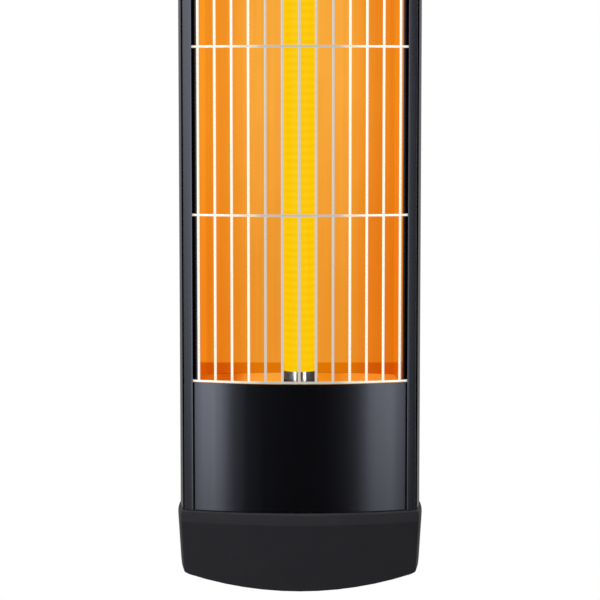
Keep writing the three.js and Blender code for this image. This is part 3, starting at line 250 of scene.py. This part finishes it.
floor.data.materials.append(floor_paint)


# Housing. One extruded aluminium body, anodised satin black, with the lips that frame the front, the
# channels behind them and the T-slots in the back. The die leaves faint lines along its length.
class Finish(Nodes):
    """A material of one Principled shader that reads its place on the piece, in metres."""

    def __init__(self, name, constants):
        material = bpy.data.materials.new(name)
        super().__init__(material)
        self.material = material
        self.shader = self.tree.nodes["Principled BSDF"]
        self.place = self.add("ShaderNodeTexCoord", output="Object")
        self.set(constants)

    def set(self, sockets):
        for name, value in sockets.items():
            self.feed(self.shader.inputs[name], value)

    def along(self, axis):
        """The place along one axis of the object, in metres."""
        return self.add("ShaderNodeSeparateXYZ", None, {0: self.place}, output=axis)

    def grain(self, fineness, detail=2, roughness=0.5):
        """Noise between 0 and 1, with this many grains to the metre along X, Y and Z."""
        stretched = self.add(
            "ShaderNodeVectorMath", {"operation": "MULTIPLY"}, {0: self.place, 1: fineness}, "Vector"
        )
        sockets = {"Vector": stretched, "Scale": 1, "Detail": detail, "Roughness": roughness}
        return self.add("ShaderNodeTexNoise", None, sockets, "Fac")

    def mix(self, share, first, second):
        """The first colour where share is 0 and the second where it is 1."""
        sockets = {0: share, 6: first, 7: second}
        return self.add("ShaderNodeMix", {"data_type": "RGBA"}, sockets, 2)

    def tinted(self, first, second):
        """One colour multiplied by the other."""
        settings = {"data_type": "RGBA", "blend_type": "MULTIPLY"}
        return self.add("ShaderNodeMix", settings, {0: 1, 6: first, 7: second}, 2)

    def relief(self, height, depth):
        """A normal that tilts with height, whose full range stands depth metres tall."""
        return self.add("ShaderNodeBump", None, {"Strength": 1, "Distance": depth, "Height": height})


def tint(red, green, blue):
    """A colour from its 0 to 255 screen values."""
    def linear(value):
        share = value / 255
        return share / 12.92 if share <= 0.04045 else ((share + 0.055) / 1.055) ** 2.4
    return (linear(red), linear(green), linear(blue), 1)


def pick(piece):
    """Leaves only this piece selected, and active."""
    bpy.ops.object.select_all(action="DESELECT")
    piece.select_set(True)
    bpy.context.view_layer.objects.active = piece


def modify(piece, kind, **settings):
    """Adds a modifier with its settings and applies it."""
    pick(piece)
    modifier = piece.modifiers.new(kind.lower(), kind)
    for name, value in settings.items():
        setattr(modifier, name, value)
    bpy.ops.object.modifier_apply(modifier=modifier.name)


arch_radius = 0.21875
arch_front = -0.136


def arch(x):
    """How far the arched front has fallen back at x."""
    return arch_radius - sqrt(arch_radius**2 - x**2)


sharp_angle = radians(30)


def round_edges(piece, radius, segments=2):
    """Breaks the sharp edges by a small radius and shades what is curved smooth, flats as flat."""
    if radius:
        modify(
            piece, "BEVEL", width=radius, segments=segments, limit_method="ANGLE",
            angle_limit=sharp_angle, use_clamp_overlap=True,
        )
    pick(piece)
    bpy.ops.object.shade_smooth_by_angle(angle=sharp_angle)
    modify(piece, "WEIGHTED_NORMAL", keep_sharp=True)


merge_distance = 0.000002
flat_angle = radians(0.4)


def worked_copy(node, radius, segments=2):
    """A copy of a CAD node with its faces joined up, its edges broken and its curves smooth."""
    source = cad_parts[node]
    piece = bpy.data.objects.new("shaped_" + node, source.data.copy())
    bpy.context.scene.collection.objects.link(piece)
    piece.data.materials.clear()
    pick(piece)
    bpy.ops.object.mode_set(mode="EDIT")
    bpy.ops.mesh.select_all(action="SELECT")
    bpy.ops.mesh.remove_doubles(threshold=merge_distance)
    bpy.ops.mesh.dissolve_limited(angle_limit=flat_angle)
    bpy.ops.object.mode_set(mode="OBJECT")
    round_edges(piece, radius, segments)
    return piece


def fit(piece, finish, slot, body, *nodes):
    """Gives a piece its finish and its body, and lets it stand for its CAD nodes."""
    piece.data.materials.clear()
    piece.data.materials.append(finish.material)
    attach(piece, body)
    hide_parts(*nodes)


die_line_depth = 0.000006


def anodised_black(name, specular, roughness):
    """Black anodised aluminium with die lines along Z."""
    finish = Finish(
        name, {"IOR": 1.5, "Specular IOR Level": specular, "Specular Tint": (0.78, 0.82, 1, 1)}
    )
    die_lines = finish.grain((1400, 1400, 9), detail=3, roughness=0.6)
    wide_lines = finish.grain((240, 240, 3))
    finish.set({
        "Base Color": finish.mix(die_lines, tint(3, 3, 5), tint(9, 9, 12)),
        "Roughness": roughness + 0.08 * wide_lines,
        "Normal": finish.relief(die_lines, die_line_depth),
    })
    return finish


def choose(piece, test):
    """Opens the piece for editing with only the vertices selected whose place passes the test."""
    pick(piece)
    bpy.ops.object.mode_set(mode="EDIT")
    bpy.ops.mesh.select_mode(type="VERT")
    bpy.ops.mesh.select_all(action="DESELECT")
    bpy.ops.object.mode_set(mode="OBJECT")
    for vertex in piece.data.vertices:
        vertex.select = test(vertex.co)
    bpy.ops.object.mode_set(mode="EDIT")


satin_black = anodised_black("satin black anodised aluminium", specular=0.33, roughness=0.09)
housing_edge = 0.00025
lip_inner_x = 0.0708
lip_back_depth = 0.0025
lip_roll_x = 0.0714
lip_growth = 0.0004
lip_lift = 0.00008
housing = worked_copy("housing", 0)
for side in (-1, 1):
    pick(housing)
    bpy.ops.object.mode_set(mode="EDIT")
    bpy.ops.mesh.select_all(action="SELECT")
    bpy.ops.mesh.bisect(plane_co=(side * lip_roll_x, 0, 0), plane_no=(1, 0, 0))
    bpy.ops.object.mode_set(mode="OBJECT")
    choose(
        housing,
        lambda place: abs(side * place.x - lip_inner_x) < housing_edge
        and place.y - arch_front - arch(place.x) < lip_back_depth,
    )
    bpy.ops.transform.translate(value=(-side * lip_growth, -lip_lift, 0))
    bpy.ops.object.mode_set(mode="OBJECT")
round_edges(housing, housing_edge)
fit(housing, satin_black, "anodised_black", "heater", "housing")


# Wire guard. Thirteen straight wires resistance-welded behind five bowed hoops, all bright chromed.
# The ends of the hoops slide in the housing's channels, with a little play to one side.
guard_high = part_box("wire_guard")[1]
guard_shift = -0.0005
wire_radius = 0.0009
wire_count = 13
wire_pitch = 0.011
wire_sides = 16
hoop_count = 5
hoop_radius = 0.0008
hoop_high_z = guard_high.z - hoop_radius
hoop_sides = 12
hoop_steps = 48
hoop_depth = 0.0029
hoop_end = 0.074
weld_bite = 0.0003
wire_depth = hoop_depth + hoop_radius + wire_radius - weld_bite
wires = []
for i in range(wire_count):
    x = (i - (wire_count - 1) / 2) * wire_pitch + guard_shift
    bpy.ops.mesh.primitive_cylinder_add(
        vertices=wire_sides,
        radius=wire_radius,
        depth=2 * hoop_high_z,
        location=(x, arch_front + arch(x) + wire_depth, 0),
    )
    wires.append(bpy.context.object)
hoop_centre_y = arch_front + hoop_depth + arch_radius
hoop_swing = asin(hoop_end / arch_radius)
for i in range(hoop_count):
    z = hoop_high_z * (2 * i / (hoop_count - 1) - 1)
    bpy.ops.mesh.primitive_circle_add(
        vertices=hoop_sides,
        radius=hoop_radius,
        fill_type="NGON",
        location=(guard_shift - hoop_end, arch_front + hoop_depth + arch(hoop_end), z),
        rotation=(0, pi / 2, -hoop_swing),
    )
    hoop = bpy.context.object
    bpy.ops.object.mode_set(mode="EDIT")
    bpy.ops.mesh.spin(
        steps=hoop_steps, angle=2 * hoop_swing, center=(guard_shift, hoop_centre_y, z), axis=(0, 0, -1)
    )
    bpy.ops.object.mode_set(mode="OBJECT")
    wires.append(hoop)


def join_pieces(pieces, name):
    """Joins pieces into one, placed in its mesh and not by its object."""
    bpy.ops.object.select_all(action="DESELECT")
    for piece in pieces:
        piece.select_set(True)
    bpy.context.view_layer.objects.active = pieces[0]
    bpy.ops.object.join()
    whole = bpy.context.object
    whole.name = name
    bpy.ops.object.transform_apply(location=True, rotation=True, scale=True)
    bpy.ops.object.mode_set(mode="EDIT")
    bpy.ops.mesh.select_all(action="SELECT")
    bpy.ops.mesh.normals_make_consistent(inside=False)
    bpy.ops.object.mode_set(mode="OBJECT")
    return whole


guard = join_pieces(wires, "guard")
round_edges(guard, 0)
chrome = Finish("chromed wire with painted glow", {"Metallic": 1})
plating = chrome.grain((900, 900, 120))
painted_grey_middle_fade = (0.024, 0.032)
off_middle = abs(chrome.along("X")).rise(*painted_grey_middle_fade)
# Painted glow: the emission paints the wires' bright reflections, and the middle wires are painted greyer as
# a painted darker reflection.
chrome.set({
    "Base Color": chrome.mix(off_middle, tint(80, 80, 80), tint(150, 146, 140)),
    "Roughness": 0.18 + 0.1 * plating,
    "Emission Color": chrome.mix(off_middle, tint(190, 186, 176), tint(216, 206, 188)),
    "Emission Strength": 1,
})
fit(guard, chrome, "chromed_wire", "heater", "wire_guard")


# Reflector. A trough of polished sheet behind the lamp, nearly flat at its bottom and rounded into its
# walls, with a lip along each edge that slides between two ribs of the housing. The lamp lights it
# orange, brightest beside the tube. The glow breaks off where a wall mirrors the end plate's edge.
sheet_edge = 0.0001
reflector = worked_copy("reflector", sheet_edge)
polished = Finish("polished sheet in lamp light", {"Metallic": 1, "Emission Strength": 1})
# Painted light: the lamp's orange light on the sheet is painted in as emission, brighter beside the tube,
# dimmer towards the ends and deeper orange to the right.
beside_fade = (0.026, 0.056)
right_fade = (0.03, 0.058)
dim_length = 0.2
beside = abs(polished.along("X")).rise(*beside_fade)
to_right = polished.along("X").rise(*right_fade)
up_or_down = abs(polished.along("Z"))
dimmer = up_or_down.rise(0, dim_length)
rolled = polished.grain((420, 420, 5), detail=3)
cloud = polished.grain((55, 55, 30), detail=3)
middle_glow = polished.mix(beside, tint(252, 171, 60), tint(243, 145, 31))
end_glow = polished.mix(beside, tint(239, 150, 44), tint(235, 128, 21))
right_glow = polished.mix(to_right, white, (0.94, 0.82, 0.64, 1))
sheen = polished.tinted(polished.mix(dimmer, middle_glow, end_glow), right_glow)
rolled_sheen = polished.tinted(sheen, polished.mix(rolled, (0.9, 0.88, 0.86, 1), (1.06, 1.08, 1.1, 1)))
clouded_sheen = polished.tinted(rolled_sheen, polished.mix(cloud, (0.94, 0.9, 0.8, 1), (1.03, 1.06, 1.2, 1)))
# Painted shade: a darker band near each end, where the wall mirrors the end plate's edge.
shade_start = 0.2044
shade_blur = 0.0007
shade_slant = 0.134
wall_front_y = -0.133
slanted = up_or_down - (polished.along("Y") - wall_front_y) * shade_slant
shade_glow = polished.mix(beside, tint(220, 116, 2), tint(206, 80, 0))
shade_share = slanted.rise(shade_start - shade_blur, shade_start + shade_blur)
whole_glow = polished.mix(shade_share, clouded_sheen, shade_glow)
# Painted shade: the walls' painted glow is dimmer and cooler than the bottom's.
wall_level = -0.083
wall_turn = 0.004
wall_painted_shade = (wall_level - polished.along("Y")).rise(0, wall_turn)
polished.set({
    "Base Color": tint(34, 20, 8),
    "Roughness": 0.3 + 0.1 * rolled,
    "Emission Color": polished.tinted(whole_glow, polished.mix(wall_painted_shade, white, (0.85, 0.88, 1, 1))),
})
fit(reflector, polished, "reflector_sheet", "heater", "reflector")


# Reflector ends. Polished plates that close the trough, each with a hole that a ferrule passes
# through. Their rolled surface breaks the lamp's light into streaks that fan out from the tube, and
# their front edge lies in the shade of the last hoop.
tube_low, tube_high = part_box("quartz_tube")
tube_centre = (tube_low + tube_high) / 2
fanned = Finish("streaked sheet in lamp light", {"Metallic": 1, "Emission Strength": 1})
out_x = fanned.along("X")
out_y = fanned.along("Y") - tube_centre.y
bearing = out_y.maths("ARCTAN2", out_x)
fan_turn = 1.7
streaks_to_the_radian = 6.5
streak_contrast = (0.42, 0.58)
fan = fanned.add(
    "ShaderNodeTexNoise",
    {"noise_dimensions": "1D"},
    {"W": bearing + fan_turn, "Scale": streaks_to_the_radian, "Detail": 2},
    "Fac",
)
streak_fade = (0.012, 0.05)
far_out = abs(out_x).rise(*streak_fade)
pale_streak = fanned.mix(far_out, tint(233, 154, 55), tint(232, 134, 40))
dark_streak = fanned.mix(far_out, tint(217, 124, 22), tint(186, 76, 0))
front_shade_fade = (0.0045, 0.0063)
behind_arch = fanned.along("Y") - arch_front - out_x * out_x * (0.5 / arch_radius)
fan_glow = fanned.mix(fan.rise(*streak_contrast), dark_streak, pale_streak)
# Painted light: the streaked glow is painted lamp light, and the black along the front edge is painted
# shade.
fanned.set({
    "Base Color": tint(26, 15, 6),
    "Roughness": 0.28 + 0.1 * fan,
    "Emission Color": fanned.mix(behind_arch.rise(*front_shade_fade), (0, 0, 0, 1), fan_glow),
})
for end in ("lower", "upper"):
    plate = worked_copy("reflector_end_" + end, sheet_edge)
    fit(plate, fanned, "reflector_sheet", "heater", "reflector_end_" + end)


# Quartz tube. Clear fused quartz, open at both ends inside the ferrules. It glows over its whole
# width from the wire inside.
tube_radius = (tube_high.x - tube_low.x) / 2
tube_wall = 0.0012
tube_edge = 0.0003
tube_sides = 64
bpy.ops.mesh.primitive_cylinder_add(
    vertices=tube_sides, radius=tube_radius, depth=tube_high.z - tube_low.z,
    end_fill_type="NOTHING", location=tube_centre,
)
tube = bpy.context.object
tube.name = "lamp_tube"
bpy.ops.object.transform_apply(location=True, rotation=True, scale=True)
modify(tube, "SOLIDIFY", thickness=tube_wall, offset=-1, use_even_offset=True)
round_edges(tube, tube_edge)
tube_glow_band = 0.0049
quartz = Finish(
    "glowing quartz", {"Emission Strength": 1, "IOR": 1.46, "Specular IOR Level": 0.08}
)
quartz_bands = (quartz.along("Z") * (2 * pi / tube_glow_band)).sine() * 0.5 + 0.5
quartz.set({
    "Base Color": tint(40, 30, 4),
    "Roughness": 0.3 + 0.1 * quartz_bands,
    "Emission Color": quartz.mix(quartz_bands, tint(246, 193, 0), tint(252, 201, 0)),
    "Alpha": 0.62 + 0.06 * quartz_bands,
})
fit(tube, quartz, "quartz", "heater", "quartz_tube")


# Heating coil. One resistance wire wound close from end to end of the lit stretch, white-yellow hot,
# with a tail at each end that runs into the insulator.
coil_low, coil_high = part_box("heating_coil")
coil_wire_radius = 0.0012
coil_radius = (coil_high.x - coil_low.x) / 2 - coil_wire_radius
coil_half_length = 0.2135
coil_turns = 119
coil_pitch = 2 * coil_half_length / coil_turns
coil_steps = 24
coil_sides = 6
bpy.ops.mesh.primitive_circle_add(
    vertices=coil_sides, radius=coil_wire_radius, fill_type="NOTHING",
    location=(coil_radius, 0, 0), rotation=(pi / 2, 0, 0),
)
coil = bpy.context.object
coil.name = "winding"
bpy.ops.object.transform_apply(location=True, rotation=True, scale=True)
modify(
    coil, "SCREW", axis="Z", angle=2 * pi, screw_offset=coil_pitch, iterations=coil_turns,
    steps=coil_steps, render_steps=coil_steps,
)
pick(coil)
bpy.ops.object.mode_set(mode="EDIT")
bpy.ops.mesh.select_all(action="SELECT")
bpy.ops.transform.translate(value=(0, 0, -coil_half_length))
bpy.ops.object.mode_set(mode="OBJECT")

run_in_steps = 16
run_in_rise = 0.003
run_in_swing = 1.5 * pi
tail_radius = 0.0009
tail_sides = 12
end_ring_y = coil_wire_radius / 10
end_ring_reach = 1.1 * coil_wire_radius
tails = []
for side in (-1, 1):
    coil_end = side * coil_half_length
    choose(
        coil,
        lambda place: abs(place.y) < end_ring_y and place.x > 0
        and abs(place.z - coil_end) < end_ring_reach,
    )
    for i in range(1, run_in_steps + 1):
        swing = side * run_in_swing * i / run_in_steps
        inwards = -coil_radius / run_in_steps
        bpy.ops.mesh.extrude_region_move()
        bpy.ops.transform.rotate(
            value=-side * run_in_swing / run_in_steps, orient_axis="Z", center_override=(0, 0, 0)
        )
        bpy.ops.transform.translate(
            value=(inwards * cos(swing), inwards * sin(swing), side * run_in_rise / run_in_steps)
        )
    bpy.ops.mesh.edge_face_add()
    bpy.ops.object.mode_set(mode="OBJECT")
    tail_low = side * (coil_half_length + run_in_rise - tail_radius)
    tail_high = side * coil_high.z
    bpy.ops.mesh.primitive_cylinder_add(
        vertices=tail_sides, radius=tail_radius, depth=abs(tail_high - tail_low),
        location=(0, 0, (tail_low + tail_high) / 2),
    )
    tails.append(bpy.context.object)
coil = join_pieces([coil, *tails], "winding")
pick(coil)
bpy.ops.object.mode_set(mode="EDIT")
bpy.ops.mesh.select_all(action="SELECT")
bpy.ops.transform.translate(value=(0, tube_centre.y, 0))
bpy.ops.object.mode_set(mode="OBJECT")
round_edges(coil, 0)
hot_wire = Finish(
    "hot wire", {"Roughness": 0.6, "Emission Strength": 1, "Specular IOR Level": 0.1}
)
hot_share = hot_wire.grain((300, 300, 300))
hot_wire.set({
    "Base Color": tint(60, 40, 8),
    "Emission Color": hot_wire.mix(hot_share, tint(250, 192, 0), tint(254, 206, 0)),
})
fit(coil, hot_wire, "hot_wire", "heater", "heating_coil")


# Ferrules. Cups turned from bright steel and crimped on the ends of the tube, painted darker, bluish and
# less metallic towards their sides as painted shade. Plain smooth normals let the turned curve keep one
# narrow highlight.
ferrule_edge = 0.00015
painted_shade_fade = (0.0034, 0.0047)
bright_steel = Finish("turned steel", {"IOR": 1.5})
steel_turning = bright_steel.grain((60, 60, 2600))
# Painted shade: the sides are painted darker, bluish and less metallic.
painted_shade_side = abs(bright_steel.along("X")).rise(*painted_shade_fade)
turned_steel = bright_steel.mix(steel_turning, tint(176, 172, 168), tint(206, 202, 198))
bright_steel.set({
    "Base Color": bright_steel.mix(painted_shade_side, turned_steel, tint(68, 82, 94)),
    "Metallic": 1 - 0.9 * painted_shade_side,
    "Roughness": 0.16 + 0.08 * steel_turning,
})
for end in ("lower", "upper"):
    node = "lamp_ferrule_" + end
    ferrule = worked_copy(node, ferrule_edge)
    bpy.ops.mesh.customdata_custom_splitnormals_clear()
    fit(ferrule, bright_steel, "bright_steel", "heater", node)


# Insulators. Plugs of unglazed steatite, pressed and fired, that sit in the ferrules and hold the
# tails of the wire.
insulator_edge = 0.0004
steatite_speck_depth = 0.00002
steatite = Finish("steatite", {"Specular IOR Level": 0.3})
steatite_speck = steatite.grain((1500, 1500, 1500), detail=4)
steatite.set({
    "Base Color": steatite.mix(steatite_speck, tint(226, 220, 206), tint(243, 240, 231)),
    "Roughness": 0.6 + 0.15 * steatite_speck,
    "Normal": steatite.relief(steatite_speck, steatite_speck_depth),
})
for end in ("lower", "upper"):
    node = "lamp_insulator_" + end
    fit(worked_copy(node, insulator_edge), steatite, "ceramic", "heater", node)


# Lamp holders. Strips of zinc-plated steel bent square, one at each end. A screw holds the foot of
# each to the housing's back, and the leg that stands out from it carries the insulator.
hardware_edge = 0.0002
zinc_brush_depth = 0.000004
zinc = Finish("zinc plate", {"Metallic": 1})
zinc_cloud = zinc.grain((90, 90, 90), detail=4)
zinc_brush = zinc.grain((2000, 2000, 200))
zinc.set({
    "Base Color": zinc.mix(zinc_cloud, tint(176, 178, 182), tint(206, 206, 204)),
    "Roughness": 0.3 + 0.15 * zinc_brush,
    "Normal": zinc.relief(zinc_brush, zinc_brush_depth),
})
for end in ("lower", "upper"):
    for node in ("lamp_holder_" + end, "holder_screw_" + end):
        fit(worked_copy(node, hardware_edge), zinc, "zinc_steel", "heater", node)


# Front covers. Thin curved strips of the same black aluminium, slid into the channels over the
# wiring at each end, a hair short of the caps.
cover_depth = 0.0021
cover_thickness = 0.0015
cover_columns = 48
cover_slide = 0.0001
cover_edge = 0.0002


def bent_sheet(name, half_width, low, high, columns, depth_at, thickness):
    """A flat grid bent column by column to a depth behind the arch's front, and given a thickness."""
    bpy.ops.mesh.primitive_grid_add(
        x_subdivisions=columns,
        y_subdivisions=1,
        size=2 * half_width,
        location=(0, arch_front, (low + high) / 2),
        rotation=(pi / 2, 0, 0),
    )
    sheet = bpy.context.object
    sheet.name = name
    sheet.scale.y = (high - low) / (2 * half_width)
    bpy.ops.object.transform_apply(location=True, rotation=True, scale=True)
    spacing = 2 * half_width / columns
    for i in range(columns + 1):
        x = i * spacing - half_width
        choose(sheet, lambda place: abs(place.x - x) < spacing / 4)
        bpy.ops.transform.translate(value=(0, depth_at(x), 0))
        bpy.ops.object.mode_set(mode="OBJECT")
    modify(sheet, "SOLIDIFY", thickness=thickness, offset=-1, use_even_offset=True)
    return sheet


glossy_black = anodised_black("glossy black anodised aluminium", specular=0.5, roughness=0.18)
for side, end in ((-1, "lower"), (1, "upper")):
    cover_low, cover_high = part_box("front_cover_" + end)
    to_middle = -side * cover_slide
    cover = bent_sheet(
        "cover_" + end, cover_high.x, cover_low.z + to_middle, cover_high.z + to_middle,
        cover_columns, lambda x: arch(x) + cover_depth, cover_thickness,
    )
    round_edges(cover, cover_edge)
    fit(cover, glossy_black, "anodised_black", "heater", "front_cover_" + end)


# Terminal block, thermal cut-out and leads. The wiring behind the covers: a moulded nylon block, a
# ceramic cut-out, and four wires in silicone sleeves that join them to the lamp and the switch.
moulded_edge = 0.0003
nylon = Finish("natural nylon", {"IOR": 1.5})
nylon_cloud = nylon.grain((220, 220, 220))
nylon.set({
    "Base Color": nylon.mix(nylon_cloud, tint(214, 209, 196), tint(230, 226, 215)),
    "Roughness": 0.45 + 0.1 * nylon_cloud,
})
fit(worked_copy("terminal_block", moulded_edge), nylon, "nylon", "heater", "terminal_block")
fit(worked_copy("thermal_cutout", moulded_edge), steatite, "ceramic", "heater", "thermal_cutout")
sleeve = Finish("silicone sleeve", {"IOR": 1.42})
sleeve_cloud = sleeve.grain((400, 400, 400))
sleeve.set({
    "Base Color": sleeve.mix(sleeve_cloud, tint(138, 50, 32), tint(150, 58, 38)),
    "Roughness": 0.5 + 0.12 * sleeve_cloud,
})
for node in ("lead_upper_lamp", "lead_cutout", "lead_switch", "lead_lower_lamp"):
    fit(worked_copy(node, 0), sleeve, "lead_sleeve", "heater", node)


# Switch. A smooth black moulded frame that snaps into the end of the lower cap, and the rocker that
# tips in it.
gloss_black = Finish("smooth black moulding", {"IOR": 1.5})
gloss_flow = gloss_black.grain((120, 120, 120))
gloss_black.set({
    "Base Color": gloss_black.mix(gloss_flow, tint(20, 20, 21), tint(26, 26, 27)),
    "Roughness": 0.25 + 0.1 * gloss_flow,
})
for node, body in (("switch_frame", "heater"), ("switch_rocker", "rocker")):
    fit(worked_copy(node, moulded_edge), gloss_black, "switch_plastic", body, node)


# End caps. Deep moulded cups in matt dark grey plastic with a fine spark texture. A painted highlight makes
# them a little paler in the band that swells out below the rim, and a brighter painted highlight runs
# along the rim's edge. They butt on the housing, and four screws hold each.
cap_edge = 0.0006
cap_edge_segments = 3
cap_screws = 4
spark_depth = 0.00002
moulding = Finish("textured dark grey moulding", {"IOR": 1.46, "Specular IOR Level": 0.12})
spark = moulding.grain((2600, 2600, 2600), detail=3, roughness=0.6)
moulding_cloud = moulding.grain((60, 60, 60))
rim_edge_end = 0.3055
rim_band_end = 0.3122
rim_band_blur = 0.0004
along_cap = abs(moulding.along("Z"))
below_edge = along_cap.rise(rim_edge_end - rim_band_blur, rim_edge_end + rim_band_blur)
below_band = along_cap.rise(rim_band_end - rim_band_blur, rim_band_end + rim_band_blur)
plain_moulding = moulding.mix(moulding_cloud, tint(25, 24, 28), tint(30, 29, 33))
# Painted highlights: a paler band below the rim, and a brighter line along the rim's edge.
band_painted_highlight = moulding.mix(moulding_cloud, tint(33, 32, 36), tint(38, 37, 41))
rim_edge_painted_highlight = moulding.mix(moulding_cloud, tint(54, 53, 57), tint(59, 58, 62))
rim_painted_highlights = moulding.mix(below_edge, rim_edge_painted_highlight, band_painted_highlight)
moulding.set({
    "Base Color": moulding.mix(below_band, rim_painted_highlights, plain_moulding),
    "Roughness": 0.62 + 0.15 * spark,
    "Normal": moulding.relief(spark, spark_depth),
})
for end in ("lower", "upper"):
    node = "end_cap_" + end
    fit(worked_copy(node, cap_edge, cap_edge_segments), moulding, "cap_plastic", "heater", node)
    for i in range(1, cap_screws + 1):
        node = f"end_cap_screw_{i}_{end}"
        fit(worked_copy(node, hardware_edge), zinc, "zinc_steel", "heater", node)


# Cable gland. Body, lock nut and dome nut moulded like the caps, and a rubber seal, screwed into the
# back of the lower cap. It is open and empty.
seal_edge = 0.0002
rubber = Finish("black rubber", {"Specular IOR Level": 0.3})
rubber_bloom = rubber.grain((500, 500, 500))
rubber.set({
    "Base Color": rubber.mix(rubber_bloom, tint(24, 24, 24), tint(34, 34, 34)),
    "Roughness": 0.7 + 0.15 * rubber_bloom,
})
for node in ("gland_body", "gland_locknut", "gland_dome_nut"):
    fit(worked_copy(node, moulded_edge), moulding, "cap_plastic", "heater", node)
fit(worked_copy("gland_seal", seal_edge), rubber, "seal_rubber", "heater", "gland_seal")


# Brackets. Folded steel, powder coated black: an arm on the heater and a plate on the wall at each
# place, joined by a pivot bolt and locked by a second bolt in an arc slot.
bracket_edge = 0.0004
orange_peel_depth = 0.00003
powder = Finish("black powder coat", {"IOR": 1.5})
orange_peel = powder.grain((700, 700, 700))
powder.set({
    "Base Color": powder.mix(orange_peel, tint(22, 22, 23), tint(32, 32, 33)),
    "Roughness": 0.4 + 0.12 * orange_peel,
    "Normal": powder.relief(orange_peel, orange_peel_depth),
})
for end in ("lower", "upper"):
    for node, body in (("bracket_arm_" + end, "heater"), ("wall_bracket_" + end, "wall_brackets")):
        fit(worked_copy(node, bracket_edge), powder, "bracket_steel", body, node)
    for node, body in (
        ("pivot_bolt_" + end, "wall_brackets"),
        ("pivot_nut_" + end, "wall_brackets"),
        ("lock_bolt_" + end, "heater"),
        ("lock_nut_" + end, "heater"),
        ("tee_bolt_1_" + end, "heater"),
        ("tee_bolt_2_" + end, "heater"),
        ("tee_nut_1_" + end, "heater"),
        ("tee_nut_2_" + end, "heater"),
    ):
        fit(worked_copy(node, hardware_edge), zinc, "zinc_steel", body, node)
